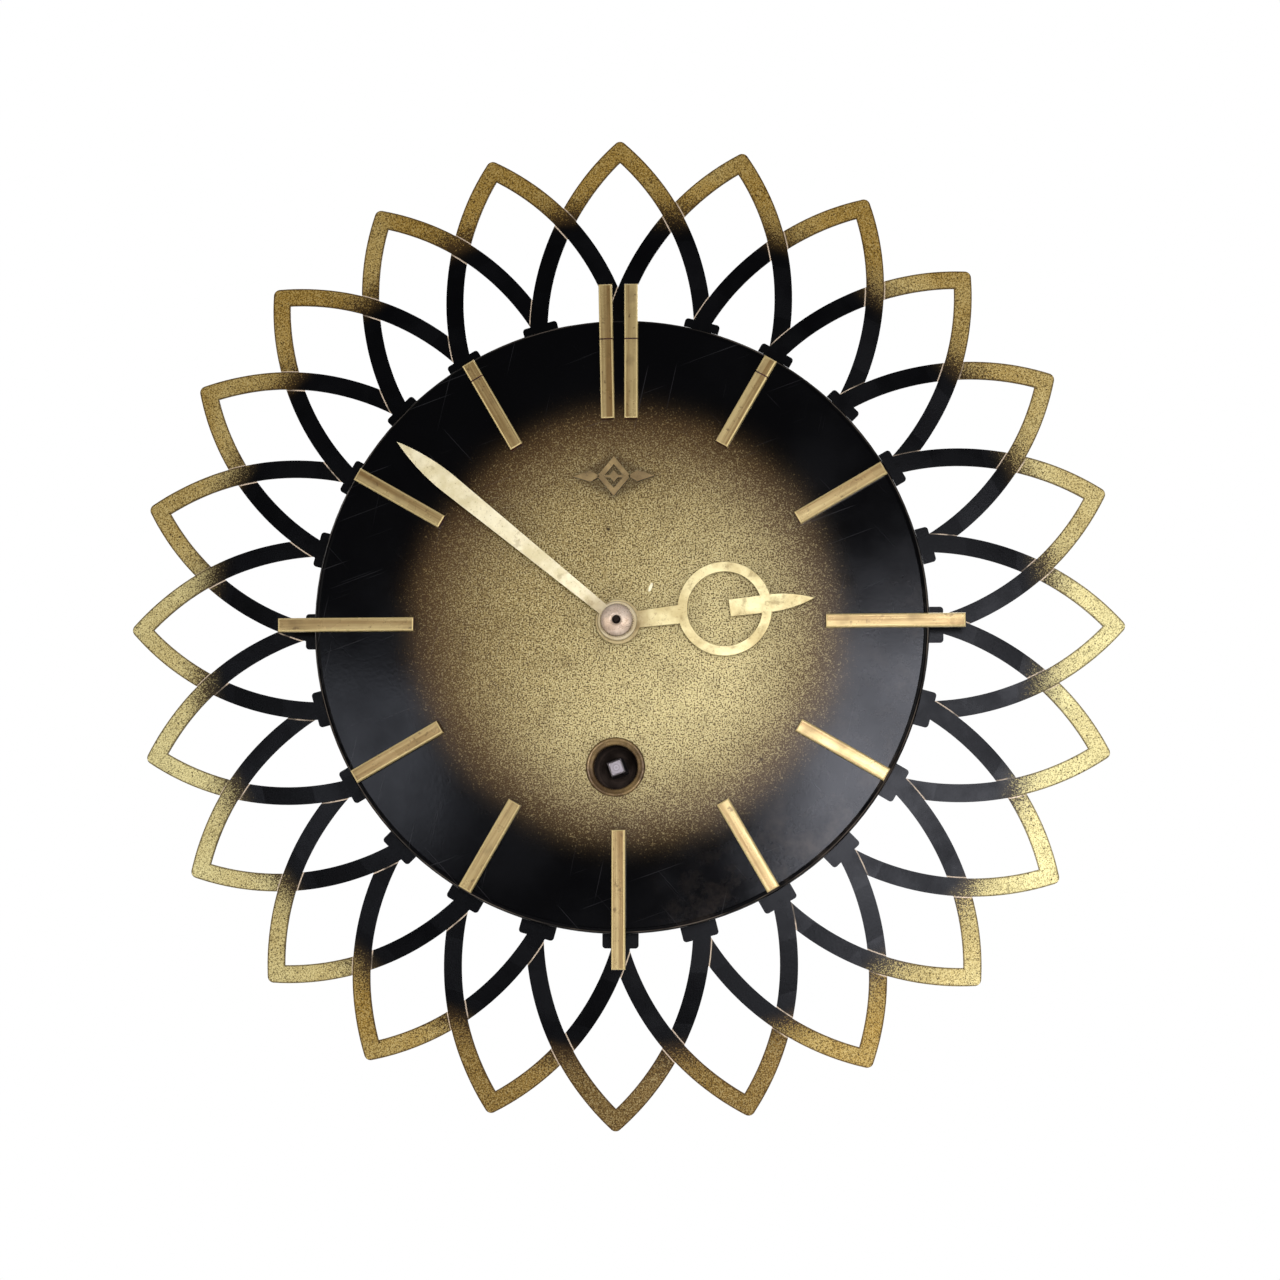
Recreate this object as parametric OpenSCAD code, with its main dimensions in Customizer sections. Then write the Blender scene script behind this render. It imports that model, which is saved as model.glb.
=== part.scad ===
// Sunburst wall clock: 24 woven sheet-metal petals round a pressed dial, with an
// eight-day spring movement behind it. Millimetres. The dial is drawn in the XY plane
// with +Z towards the viewer, and every node is then stood up so that the front faces -Y,
// +Z is up and the wall is the plane Y = 0.

/* [Petals] */
// radius of the centreline arc of a petal's leg
leg_arc_r = 75.94; // [75:0.01:77]
// width of the strip a petal is bent from
leg_w = 5.35; // [4.5:0.05:6]
// sideways offset of the arc centre from the petal's axis
arc_dx = 50.93; // [50:0.01:52]
// distance of the arc centre from the clock's centre
arc_dy = 90.53; // [90:0.01:91]
// thickness of the petal sheet
petal_t = 0.6; // [0.4:0.05:0.7]
// radius of the rounded petal tip
tip_r = 2; // [1:0.1:2.5]
// width of the T-shaped foot
foot_w = 10.8; // [9:0.1:12]
// radius the foot reaches to
foot_r = 96.2; // [95:0.1:98]
// degrees that every other petal leans off its even place
lean_apart = 0.2; // [0:0.05:0.3]
// degrees that the petals at top and bottom have been pushed to the left
lean_side = 0.5; // [0:0.05:0.6]

/* [Dial] */
// radius of the dial pan
dial_r = 91.8; // [91.5:0.1:92.5]
// sheet thickness of the dial pan
dial_t = 0.8; // [0.6:0.1:1]
// radius of the rounded dial edge
dial_edge = 1.8; // [1.2:0.1:2.2]
// height of the dial face above the wall
face_z = 43.1; // [42.5:0.1:44]

/* [Hour bars] */
// width of a bar
bar_w = 4.05; // [3.5:0.05:4.5]
// height of a bar above the dial
bar_h = 2.4; // [1.5:0.1:2.8]
// bevel round the top of a bar
bar_bevel = 0.45; // [0.2:0.05:0.6]
// outer end of the long bars
long_bar_r = 102.2; // [96:0.1:105]
// outer end of the short bars
short_bar_r = 91; // [88:0.1:91.4]
// inner end of all bars
bar_in_r = 61.2; // [60:0.1:64]
// half the spacing of the two bars at twelve
pair_dx = 3.7; // [2.8:0.1:4.5]

/* [Hands] */
// length of the minute hand from the axis
minute_len = 85.5; // [80:0.5:88]
// length of the hour hand from the axis
hour_len = 58.5; // [56:0.5:59.5]
// sheet thickness of the hands
hand_t = 0.7; // [0.5:0.05:0.8]
// centre of the hour hand's ring
ring_y = 31.75; // [31:0.05:32.5]
// outer radius of the hour hand's ring
ring_ro = 14; // [13.5:0.1:14.5]
// inner radius of the hour hand's ring
ring_ri = 11; // [10.5:0.1:11.4]
// minute hand at rest, degrees clockwise from twelve
minute_at = 309.4; // [0:0.1:360]
// hour hand at rest, degrees clockwise from twelve
hour_at = 83.5; // [0:0.1:360]

/* [Winding] */
// winding arbor, to the right of the centre
wind_x = -1; // [-1.5:0.1:0]
// winding arbor, above the centre
wind_y = -42.8; // [-43:0.1:-42.6]
// side of the winding square
square_w = 4.6; // [4:0.1:5]
// inner radius of the winding hole's grommet
grommet_ri = 6.5; // [6:0.1:7]
// outer radius of the grommet
grommet_ro = 8.8; // [8.2:0.1:9.2]

/* [Movement] */
// thickness of the plates
plate_t = 1.5; // [1.2:0.1:1.6]
// width of the plates
plate_w = 60; // [60:0.5:62]
// height of the plates
plate_h = 86; // [86:0.5:87]
// teeth of the barrel's great wheel
barrel_n = 80; // [80]
// radius of the dust cover
cover_r = 56; // [55.5:0.1:58]

/* [Hanging] */
// radius of the keyhole's entry
key_r = 4.5; // [4:0.1:5]
// half the width of the keyhole's slot
key_slot = 2.2; // [1.8:0.1:2.4]

/* [Hidden] */
$fn = 96;
eps = 0.01;
petals = 24;
step = 360 / petals;

// heights above the wall
carrier_z = 31.6;
carrier_t = 1;
low_z = carrier_z + carrier_t - petal_t;
high_z = carrier_z + carrier_t;
mid_z = high_z - petal_t / 2;
back_z = 6.5;
front_z = 26;
bay_lo = back_z + plate_t;
hour_hand_z = 46.2;
minute_hand_z = 48.6;
nut_z = minute_hand_z + hand_t;

// shafts
pivot_r = 0.5;
pivot_hole = 0.56;
staff_r = 0.9;
post_r = 1.2;
post_hole = 1.26;

// modules and teeth of the train
m_great = 0.55;
m_third = 0.5;
m_fourth = 0.4;
m_escape = 0.36;
inter_pn = 10;
inter_n = 60;
centre_pn = 10;
centre_n = 64;
third_pn = 8;
third_n = 60;
fourth_pn = 8;
fourth_n = 60;
escape_pn = 8;
m_cannon = 0.5;
m_hour = 0.48;
cannon_n = 12;
minute_n = 36;
minute_pn = 10;
hour_n = 40;
ratchet_n = 24;

// where the arbors stand, seen from the front
barrel_at = [wind_x, wind_y];
centre_d = m_great * (inter_n + centre_pn) / 2;
inter_d = m_great * (barrel_n + inter_pn) / 2;
to_barrel = atan2(wind_y, wind_x);
fold = acos((centre_d * centre_d + wind_x * wind_x + wind_y * wind_y - inter_d * inter_d)
  / (2 * centre_d * norm(barrel_at)));
inter_at = polar(centre_d, to_barrel + fold);
third_at = polar(m_third * (centre_n + third_pn) / 2, 40);
fourth_at = third_at + polar(m_fourth * (third_n + fourth_pn) / 2, 120);
escape_at = fourth_at + polar(m_escape * (fourth_n + escape_pn) / 2, 190);
lever_at = escape_at + polar(9.2, 215);
balance_at = escape_at + polar(21.2, 215);
motion_at = polar(m_cannon * (cannon_n + minute_n) / 2, 60);

// tooth phases, carried through the train so that every pair meshes at rest
inter_p_ph = meshed(0, barrel_n, inter_pn, heading(barrel_at, inter_at));
centre_p_ph = meshed(0, inter_n, centre_pn, heading(inter_at, [0, 0]));
third_p_ph = meshed(0, centre_n, third_pn, heading([0, 0], third_at));
fourth_p_ph = meshed(0, third_n, fourth_pn, heading(third_at, fourth_at));
escape_p_ph = meshed(0, fourth_n, escape_pn, heading(fourth_at, escape_at));
motion_ph = meshed(0, cannon_n, minute_n, heading([0, 0], motion_at));
hour_ph = meshed(0, minute_pn, hour_n, heading(motion_at, [0, 0]));

pillars_at = [[-27, -52], [25, -52], [-27, 26], [25, 26]];
plate_mid = [-1, -13];
cover_screws = [30, 150, 270];
key_y = 59;
hanger_screws = [for (x = [-17.5, 17.5], y = [55, 69]) [x, y]];
curb_at = 340;
post_ring = 76;
rivet_ring = 86.5;
// where, anticlockwise from twelve, the petals lean the most
lean_turn = 25;
// turn of the escape wheel's teeth that lets both pallet pins dip between them
escape_ph = 9;
bar_pins_at = [66, 86];

// How far petal k leans clockwise from its even place: they are bent and set by hand.
function lean(k) = (k % 2 == 1 ? 1 : -1) * lean_apart - lean_side * cos((k - 1) * step + lean_turn);
// Angle of the rivet through petal k's foot.
function rivet_at(k) = step - (k - 1) * step - lean(k);

function petal_name(k) = str("petal_", k < 10 ? "0" : "", k);
function polar(r, a) = [r * cos(a), r * sin(a)];
function heading(a, b) = atan2(b[1] - a[1], b[0] - a[0]);

// Angle of a tooth of wheel b that meshes with wheel a, whose tooth stands at ph_a.
function meshed(ph_a, na, nb, dir) =
  dir + 180 + 180 / nb - (ph_a - dir) * na / nb;

// Points of one straight-flanked tooth centred on angle a.
function tooth(rr, rp, rt, hr, hp, ht, a) =
  [polar(rr, a - hr), polar(rp, a - hp), polar(rt, a - ht),
    polar(rt, a + ht), polar(rp, a + hp), polar(rr, a + hr)];

// Stands a node up: the dial plane becomes the XZ plane, the front faces -Y.
module stand() {
  rotate([90, 0, 0]) children();
}

module at(p) {
  translate([p[0], p[1], 0]) children();
}

// A disc or shaft from height z0 to z1.
module rod(r, z0, z1) {
  translate([0, 0, z0]) cylinder(r = r, h = z1 - z0);
}

module slab(z0, z1) {
  translate([0, 0, z0]) linear_extrude(z1 - z0) children();
}

// A curved slot of half-width w about radius r, half its sweep either side of angle a.
module arc_slot(r, w, a, half) {
  difference() {
    circle(r + w);
    circle(r - w);
    rotate(a - half) translate([-60, -120]) square([120, 120]);
    rotate(a + half) translate([-60, 0]) square([120, 120]);
  }
}

module rounded(w, h, r) {
  square([w - 2 * r, h], center = true);
  square([w, h - 2 * r], center = true);
  for (x = [-1, 1], y = [-1, 1]) translate([x * (w / 2 - r), y * (h / 2 - r)]) circle(r);
}

// Wheel teeth are slim, with room on both sides, so that no pair ever touches.
module wheel_teeth(n, m) {
  p = 360 / n;
  polygon([for (i = [0:n - 1])
    each tooth(m * (n / 2 - 1.15), m * n / 2, m * (n / 2 + 0.8),
      0.2 * p, 0.17 * p, 0.07 * p, i * p)]);
}

module leaf_teeth(n, m) {
  p = 360 / n;
  polygon([for (i = [0:n - 1])
    each tooth(m * (n / 2 - 1.25), m * n / 2, m * (n / 2 + 0.6),
      0.13 * p, 0.15 * p, 0.07 * p, i * p)]);
}

// A crossed-out wheel with arms and a hub.
module wheel(n, m, arms, hub) {
  rim = m * (n / 2 - 1.15) - 1.3;
  difference() {
    wheel_teeth(n, m);
    difference() {
      circle(rim);
      circle(hub);
      for (i = [0:arms - 1]) rotate(i * 360 / arms + 20)
        translate([0, -0.75]) square([rim + 1, 1.5]);
    }
  }
}

// A pinion and its staff, with pivots running in both plates.
module staff(n, m, z0, z1, ph) {
  slab(z0, z1) rotate(ph) leaf_teeth(n, m);
  rod(staff_r, bay_lo + 0.25, front_z - 0.25);
  rod(pivot_r, back_z + 0.1, front_z + plate_t - 0.1);
}

module spiral(r0, r1, turns, t) {
  n = ceil(turns * 20);
  polygon(concat(
    [for (i = [0:n]) polar(r0 + (r1 - r0) * i / n, 360 * turns * i / n)],
    [for (i = [n:-1:0]) polar(r0 + t + (r1 - r0) * i / n, 360 * turns * i / n)]));
}

// ---- petals

module half_strip() {
  difference() {
    translate([-arc_dx, arc_dy]) circle(leg_arc_r + leg_w / 2);
    translate([-arc_dx, arc_dy]) circle(leg_arc_r - leg_w / 2);
    translate([-200, -10]) square([200, 300]);
    translate([-10, -10]) square([100, 90]);
  }
}

// What the rounded tip leaves off the sharp one.
module tip_trim() {
  reach = leg_arc_r + leg_w / 2;
  mid = arc_dy + sqrt(pow(reach - tip_r, 2) - arc_dx * arc_dx);
  touch = arc_dy + (mid - arc_dy) * reach / (reach - tip_r);
  difference() {
    translate([-4, touch]) square([8, 4]);
    translate([0, mid]) circle(tip_r);
  }
}

// The leg that passes under: it ends just past the next foot's middle line.
module under_leg() {
  difference() {
    half_strip();
    circle(dial_r - 0.6);
    rotate(-step) translate([1.5, 0]) square([60, 160]);
    tip_trim();
  }
}

// The leg that carries the T-shaped foot.
module foot_leg() {
  foot_in = 83;
  difference() {
    mirror([1, 0]) half_strip();
    circle(90);
    tip_trim();
  }
  rotate(step) difference() {
    union() {
      translate([-foot_w / 2, foot_in]) square([foot_w, foot_r - 1 - foot_in]);
      translate([1 - foot_w / 2, foot_in]) square([foot_w - 2, foot_r - foot_in]);
      for (x = [-1, 1]) translate([x * (foot_w / 2 - 1), foot_r - 1]) circle(1);
    }
    translate([0, rivet_ring]) circle(1.05);
  }
}

// A sheet bent across the petal: base level, crossing level, tip level.
module bent(base, over) {
  lo = [[80, base], [103, base], [118, over], [132, over], [141, mid_z], [152, mid_z]];
  hi = [for (i = [5:-1:0]) lo[i] + [0, petal_t]];
  translate([-40, 0, 0]) rotate([90, 0, 90]) linear_extrude(80) polygon(concat(lo, hi));
}

module petal(k) {
  color("goldenrod") stand() rotate(-(k - 1) * step - lean(k)) {
    intersection() {
      slab(carrier_z - 1, high_z + 3) under_leg();
      bent(low_z, high_z);
    }
    intersection() {
      slab(carrier_z - 1, high_z + 3) foot_leg();
      bent(high_z, low_z);
    }
  }
}

// ---- case

module petal_carrier() {
  color("silver") stand() slab(carrier_z, high_z) difference() {
    circle(90);
    circle(24);
    at(barrel_at) circle(9);
    for (k = [1:petals]) rotate(rivet_at(k)) translate([0, rivet_ring]) circle(1.05);
    for (a = [45:90:315]) rotate(a) translate([post_ring, 0]) circle(1.6);
    for (p = pillars_at) at(p) circle(1.6);
    for (a = cover_screws) at(plate_mid + polar(cover_r + 3, a)) circle(1.3);
    for (p = hanger_screws) at(p) circle(1.3);
  }
}

module petal_rivets() {
  color("silver") stand() for (k = [1:petals]) rotate(rivet_at(k)) translate([0, rivet_ring, 0]) {
    rod(1, carrier_z - 0.6, high_z + petal_t + 0.6);
    rod(1.8, high_z + petal_t, high_z + petal_t + 0.6);
    rod(1.8, carrier_z - 0.6, carrier_z);
  }
}

module dial() {
  skirt_z = high_z + petal_t;
  r = dial_edge;
  color("black") stand() difference() {
    rotate_extrude() difference() {
      union() {
        translate([0, skirt_z]) square([dial_r - r, face_z - skirt_z]);
        translate([0, skirt_z]) square([dial_r, face_z - r - skirt_z]);
        translate([dial_r - r, face_z - r]) circle(r);
      }
      translate([-1, skirt_z - 1]) square([dial_r - r + 1, face_z - dial_t - skirt_z + 1]);
      translate([-1, skirt_z - 1]) square([dial_r - dial_t + 1, face_z - r - skirt_z + 1]);
      translate([dial_r - r, face_z - r]) circle(r - dial_t);
    }
    rod(3.4, face_z - 3, face_z + 1);
    at(barrel_at) rod(grommet_ro - 0.9, face_z - 3, face_z + 1);
    bar_pins(0.66);
    for (x = [-9, 9]) translate([x - 1.5, 44, 0]) rod(0.66, face_z - 3, face_z + 1);
  }
}

module dial_posts() {
  color("silver") stand() for (a = [45:90:315]) rotate(a) translate([post_ring, 0, 0]) {
    rod(3, high_z, face_z - dial_t);
    rod(1.5, carrier_z - 0.8, high_z + eps);
    rod(3, carrier_z - 0.8, carrier_z);
  }
}

// Where each bar stands: clockwise angle, sideways shift, own tilt, outer end.
bars_long = [[0, -pair_dx, 1.2, long_bar_r], [0, pair_dx, 0, long_bar_r],
  [90, 0, 0, long_bar_r], [180, 0, 0, long_bar_r], [270, 0, 0, long_bar_r]];
bars_short = [for (h = [1, 2, 4, 5, 7, 8, 10, 11]) [30 * h, 0, 0, short_bar_r]];

module on_bar(b) {
  mid = (bar_in_r + b[3]) / 2;
  rotate(-b[0]) translate([b[1], mid, 0]) rotate(b[2]) children();
}

module bar_pins(r) {
  for (b = concat(bars_long, bars_short)) on_bar(b) for (y = bar_pins_at)
    translate([0, y - (bar_in_r + b[3]) / 2, 0]) rod(r, face_z - 2.4, face_z + 0.3);
}

// A brass bar bevelled all round, scored across near its end when scored is true.
module bar(b, scored) {
  len = b[3] - bar_in_r;
  on_bar(b) difference() {
    intersection() {
      translate([0, len / 2, 0]) rotate([90, 0, 0]) linear_extrude(len) bevelled(bar_w);
      rotate([90, 0, 90]) translate([0, 0, -bar_w / 2]) linear_extrude(bar_w) bevelled(len);
    }
    if (scored) translate([-bar_w, 85.4 - bar_in_r - len / 2 - 0.2, face_z + bar_h - 0.25])
      cube([bar_w * 2, 0.4, 1]);
  }
}

module bevelled(w) {
  top = face_z + bar_h;
  polygon([[-w / 2, face_z], [w / 2, face_z], [w / 2, top - bar_bevel],
    [w / 2 - bar_bevel, top], [bar_bevel - w / 2, top], [-w / 2, top - bar_bevel]]);
}

module pinned_bar(b, scored) {
  bar(b, scored);
  on_bar(b) for (y = bar_pins_at)
    translate([0, y - (bar_in_r + b[3]) / 2, 0]) rod(0.6, face_z - 2, face_z + 0.3);
}

module long_hour_bars() {
  color("gold") stand() for (b = bars_long) pinned_bar(b, b[0] == 0);
}

module short_hour_bars() {
  color("gold") stand() for (b = bars_short) pinned_bar(b, b[0] == 30 || b[0] == 330);
}

// A raised lozenge between two darts.
module dial_ornament() {
  color("peru") stand() translate([-1.5, 44, 0]) {
    slab(face_z, face_z + 1.1) {
      difference() {
        polygon([[-5, 0], [0, 6], [5, 0], [0, -6]]);
        polygon([[-3, 0], [0, 3.6], [3, 0], [0, -3.6]]);
      }
      polygon([[-1.5, 0], [0, 1.8], [1.5, 0], [0, -1.8]]);
      for (s = [-1, 1]) scale([s, 1]) polygon([[4.2, 0], [7, 1.7], [12.2, 0], [7, -1.7]]);
      translate([-4.5, -0.4]) square([9, 0.8]);
    }
    for (x = [-9, 9]) translate([x, 0, 0]) rod(0.6, face_z - 2, face_z + 0.3);
  }
}

module winding_grommet() {
  ri = grommet_ri;
  ro = grommet_ro;
  color("gold") stand() at(barrel_at) rotate_extrude() {
    polygon([[ri, face_z - dial_t - 1.2], [ro - 1, face_z - dial_t - 1.2],
      [ro - 1, face_z], [ro, face_z], [ro - 0.2, face_z + 0.55],
      [ro - 0.8, face_z + 0.8], [ri + 0.6, face_z + 0.25], [ri, face_z - 0.3]]);
  }
}

module dust_cover() {
  color("silver") stand() at(plate_mid) difference() {
    union() {
      rod(cover_r, 0, carrier_z - 0.6);
      rod(cover_r + 5, carrier_z - 0.6, carrier_z);
    }
    rod(cover_r - 0.6, 0.6, carrier_z + eps);
    for (a = cover_screws) rotate(a) translate([cover_r + 3, 0, 0])
      rod(1.3, carrier_z - 2, carrier_z + 1);
    at(balance_at - plate_mid) slab(-1, 1) arc_slot(15.5, 1.15, 180, 25);
  }
}

// A hat-shaped strip: its web lies on the wall and carries the keyhole.
module hanger() {
  web = 1.2;
  w = 26;
  low = 50;
  high = 74;
  slot_y = key_y + 9;
  color("silver") stand() difference() {
    union() {
      translate([-w / 2, low, 0]) cube([w, high - low, web]);
      for (s = [-1, 1]) {
        translate([s * (w / 2 - web / 2) - web / 2, low, 0])
          cube([web, high - low, carrier_z]);
        translate([s * (w / 2 + 4) - 5, low, carrier_z - web])
          cube([10, high - low, web]);
      }
    }
    for (p = hanger_screws) at(p) rod(1.3, carrier_z - 3, carrier_z + 1);
    translate([0, key_y, -1]) cylinder(r = key_r, h = 3);
    translate([0, slot_y, -1]) cylinder(r = key_slot, h = 3);
    translate([-key_slot, key_y, -1]) cube([2 * key_slot, 9, 3]);
  }
}

// Screws that hold the dust cover and the hanger to the carrier.
module case_screws() {
  seats = concat([for (a = cover_screws) concat(plate_mid + polar(cover_r + 3, a), 0.6)],
    [for (p = hanger_screws) concat(p, 1.2)]);
  color("silver") stand() for (s = seats) at(s) {
    rod(1.2, carrier_z - s[2] - 0.4, high_z + 0.4);
    rod(2.3, carrier_z - s[2] - 1.3, carrier_z - s[2]);
  }
}

// ---- hands

// Half-round-ended taper: width w0 at y0, w1 at y1, then an ogive to the tip.
module pointer(w0, y0, w1, y1, tip) {
  polygon([[-w0 / 2, y0], [w0 / 2, y0], [w1 / 2, y1], [-w1 / 2, y1]]);
  rise = tip - y1;
  r = (rise * rise + w1 * w1 / 4) / w1;
  intersection() {
    translate([w1 / 2 - r, y1]) circle(r);
    translate([r - w1 / 2, y1]) circle(r);
    translate([-w1, y1 - eps]) square([2 * w1, rise + 1]);
  }
}

module minute_hand() {
  color("gold") stand() rotate(-minute_at) slab(minute_hand_z, nut_z) difference() {
    union() {
      circle(5.8);
      pointer(3.1, 0, 5.8, 66, minute_len);
    }
    circle(1.62);
  }
}

module hour_hand() {
  color("gold") stand() rotate(-hour_at) difference() {
    slab(hour_hand_z, hour_hand_z + hand_t) difference() {
      union() {
        circle(6.7);
        pointer(4.9, 0, 5.8, ring_y - ring_ri - 1, ring_y - ring_ri + 20);
        translate([0, ring_y]) circle(ring_ro);
        pointer(5.2, 33.2, 5.4, 45, hour_len);
      }
      difference() {
        translate([0, ring_y]) circle(ring_ri);
        translate([-2.6, 33.2]) square([5.2, 20]);
      }
      circle(2.5);
    }
    translate([0, 44.4, hour_hand_z + hand_t - 0.2]) cylinder(r = 0.7, h = 1);
  }
}

module hand_nut() {
  teeth = 42;
  r = 5;
  color("tan") stand() difference() {
    union() {
      slab(nut_z + 0.5, nut_z + 2.9) polygon([for (i = [0:2 * teeth - 1])
        polar(i % 2 == 0 ? r : r - 0.3, i * 180 / teeth)]);
      rotate_extrude() polygon([[0, nut_z], [4.2, nut_z], [4.2, nut_z + 0.6],
        [r - 0.35, nut_z + 0.6], [r - 0.35, nut_z + 3.1], [3.9, nut_z + 3.8],
        [1.8, nut_z + 4.2], [0, nut_z + 4.2]]);
    }
    rod(1.3, nut_z - 1, nut_z + 5);
    translate([0, 0, nut_z + 3.7]) cylinder(r1 = 1.3, r2 = 1.85, h = 0.55);
  }
}

// ---- motion work

module cannon_pinion() {
  color("gold") stand() difference() {
    union() {
      slab(29, 32) leaf_teeth(cannon_n, m_cannon);
      rod(2, 28, minute_hand_z);
      rod(1.58, 32, nut_z - 0.05);
      rod(3, 28, 29);
    }
    rod(post_r + 0.02, 27, nut_z + 1);
  }
}

module minute_wheel() {
  color("gold") stand() at(motion_at) difference() {
    union() {
      slab(30, 31) rotate(motion_ph) wheel(minute_n, m_cannon, 4, 3.4);
      slab(31 - eps, 35) leaf_teeth(minute_pn, m_hour);
    }
    rod(0.86, 29, 36);
  }
}

module hour_wheel() {
  color("gold") stand() difference() {
    union() {
      slab(33.2, 34.2) rotate(hour_ph) wheel(hour_n, m_hour, 4, 4.4);
      rod(2.9, 33.2, hour_hand_z);
      rod(2.48, 34, hour_hand_z + hand_t);
      rod(3.4, 34, 36);
    }
    rod(2.06, 32, hour_hand_z + 2);
  }
}

// ---- movement

module centre_arbor() {
  color("silver") stand() {
    rod(post_r, bay_lo + 0.3, nut_z + 1.4);
    rod(0.7, nut_z + 1.4 - eps, nut_z + 3.6);
    rod(0.7, back_z + 0.1, bay_lo + 0.4);
    rod(2.2, bay_lo + 0.3, bay_lo + 1.2);
  }
}

module centre_wheel() {
  color("gold") stand() difference() {
    union() {
      slab(11, 12) wheel(centre_n, m_third, 5, 4);
      rod(2, 10.2, 24.4);
      slab(21.8, 24.2) rotate(centre_p_ph) leaf_teeth(centre_pn, m_great);
    }
    rod(post_hole, 9, 26);
  }
}

module intermediate_wheel() {
  color("gold") stand() at(inter_at) {
    slab(22.4, 23.4) wheel(inter_n, m_great, 5, 4.5);
    staff(inter_pn, m_great, 18.6, 22.4 + eps, inter_p_ph);
  }
}

module third_wheel() {
  color("gold") stand() at(third_at) {
    slab(14.5, 15.3) wheel(third_n, m_fourth, 4, 3.2);
    staff(third_pn, m_third, 10.2, 14.5 + eps, third_p_ph);
  }
}

module fourth_wheel() {
  color("gold") stand() at(fourth_at) {
    slab(18, 18.7) wheel(fourth_n, m_escape, 4, 2.8);
    staff(fourth_pn, m_fourth, 13.8, 18 + eps, fourth_p_ph);
  }
}

module escape_wheel() {
  n = 15;
  color("gold") stand() at(escape_at) {
    slab(21.5, 22.1) difference() {
      polygon([for (i = [0:n - 1])
        let (a = i * 360 / n + escape_ph)
          each [polar(4.9, a - 5), polar(6.5, a + 1), polar(6.5, a + 2.5), polar(4.9, a + 6)]]);
      difference() {
        circle(4.1);
        circle(1.6);
        for (a = [0:90:270]) rotate(a + 10) translate([0, -0.4]) square([5, 0.8]);
      }
    }
    staff(escape_pn, m_escape, 17.3, 19.4, escape_p_ph);
  }
}

// The pins stand just clear of the escape wheel and the fork just clear of the balance.
module pallet_lever() {
  away = heading(lever_at, balance_at);
  color("silver") stand() at(lever_at) {
    slab(20.6, 21.2) rotate(away) {
      circle(1.7);
      translate([-4, -0.6]) square([11.6, 1.2]);
      translate([-4.6, -5.6]) square([1.2, 11.2]);
      difference() {
        translate([7, -1.6]) square([2.6, 3.2]);
        translate([8.2, -0.6]) square([3, 1.2]);
      }
    }
    rotate(away) for (s = [-1, 1]) translate([-4, s * 5.2, 0]) rod(0.3, 20.6, 22.6);
    rod(staff_r, bay_lo + 0.25, front_z - 0.25);
    rod(pivot_r, back_z + 0.1, front_z + plate_t - 0.1);
  }
}

module balance_wheel() {
  r = 10.4;
  color("gold") stand() at(balance_at) {
    slab(14, 15.4) {
      difference() {
        circle(r);
        circle(r - 1.5);
      }
      rotate(15) square([2 * r - 1, 1.6], center = true);
      circle(1.6);
    }
    rod(staff_r, bay_lo + 0.25, front_z - 0.25);
    rod(pivot_r, back_z + 0.1, front_z + plate_t - 0.1);
    rod(1.5, 9.2, 10.2);
    rod(2, 19.4, 20);
    rotate(heading(balance_at, lever_at)) translate([1.5, 0, 0]) rod(0.25, 19.4, 21.6);
  }
}

module hairspring() {
  color("silver") stand() at(balance_at) {
    slab(9.2, 9.8) rotate(20) spiral(1.9, 5.2, 4, 0.16);
    slab(bay_lo, 10.2) rotate(20) translate([5.15, -0.6]) square([0.9, 1.2]);
  }
}

module regulator() {
  color("silver") stand() at(balance_at) {
    slab(5.4, 6.2) difference() {
      union() {
        circle(3.6);
        translate([-15.5, -0.9]) square([15.5, 1.8]);
        rotate(curb_at) translate([0, -0.9]) square([6.2, 1.8]);
      }
      circle(2.06);
    }
    translate([-15.5, 0, 0]) rod(0.9, 0.2, 6.2);
    rotate(curb_at) for (s = [-1, 1]) translate([5.19 + s * 0.4, 0, 0]) rod(0.15, 6, 9.9);
  }
}

module barrel() {
  color("gold") stand() at(barrel_at) difference() {
    union() {
      rod(20.4, 9.3, 20.8);
      slab(19.4, 20.8) wheel_teeth(barrel_n, m_great);
    }
    rod(19.5, 10.3, 19.6);
    rod(2.56, 8, 22);
  }
}

module mainspring() {
  color("gray") stand() at(barrel_at) slab(10.6, 19.2) spiral(4.6, 18.9, 9, 0.45);
}

module winding_arbor() {
  color("silver") stand() at(barrel_at) {
    rod(2.5, bay_lo + 0.3, front_z - 0.3);
    rod(3.9, 10.6, 19.3);
    rod(2, back_z + 0.1, 28);
    slab(28 - eps, 40.5) rotate(20) square(square_w, center = true);
  }
}

module ratchet_wheel() {
  p = 360 / ratchet_n;
  color("silver") stand() at(barrel_at) slab(28, 29.2) difference() {
    polygon([for (i = [0:ratchet_n - 1])
      each [polar(7.9, i * p + 0.5), polar(9.2, i * p)]]);
    rotate(20) square(square_w + 0.06, center = true);
  }
}

click_at = [wind_x + 13.6, wind_y + 6];

// A pawl on a shouldered screw: its nose stands just off the ratchet's teeth.
module click() {
  toward = heading(click_at, barrel_at + [3, 9.6]);
  color("silver") stand() at(click_at) difference() {
    union() {
      rod(2.6, 28, 29.2);
      slab(28, 29.2) rotate(toward)
        polygon([[0, -1.6], [6, -0.9], [9.2, -0.2], [9.2, 0.8], [0, 1.9]]);
    }
    rod(1.26, 27, 30);
  }
}

module click_spring() {
  color("silver") stand() slab(28, 28.8) {
    at([20, wind_y + 14]) difference() {
      circle(2.4);
      circle(1.25);
    }
    translate([10.6, wind_y + 13.4]) square([8, 0.5]);
  }
}

module plate_outline() {
  at(plate_mid) rounded(plate_w, plate_h, 6);
}

module bore(p, r) {
  at(p) circle(r);
}

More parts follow.
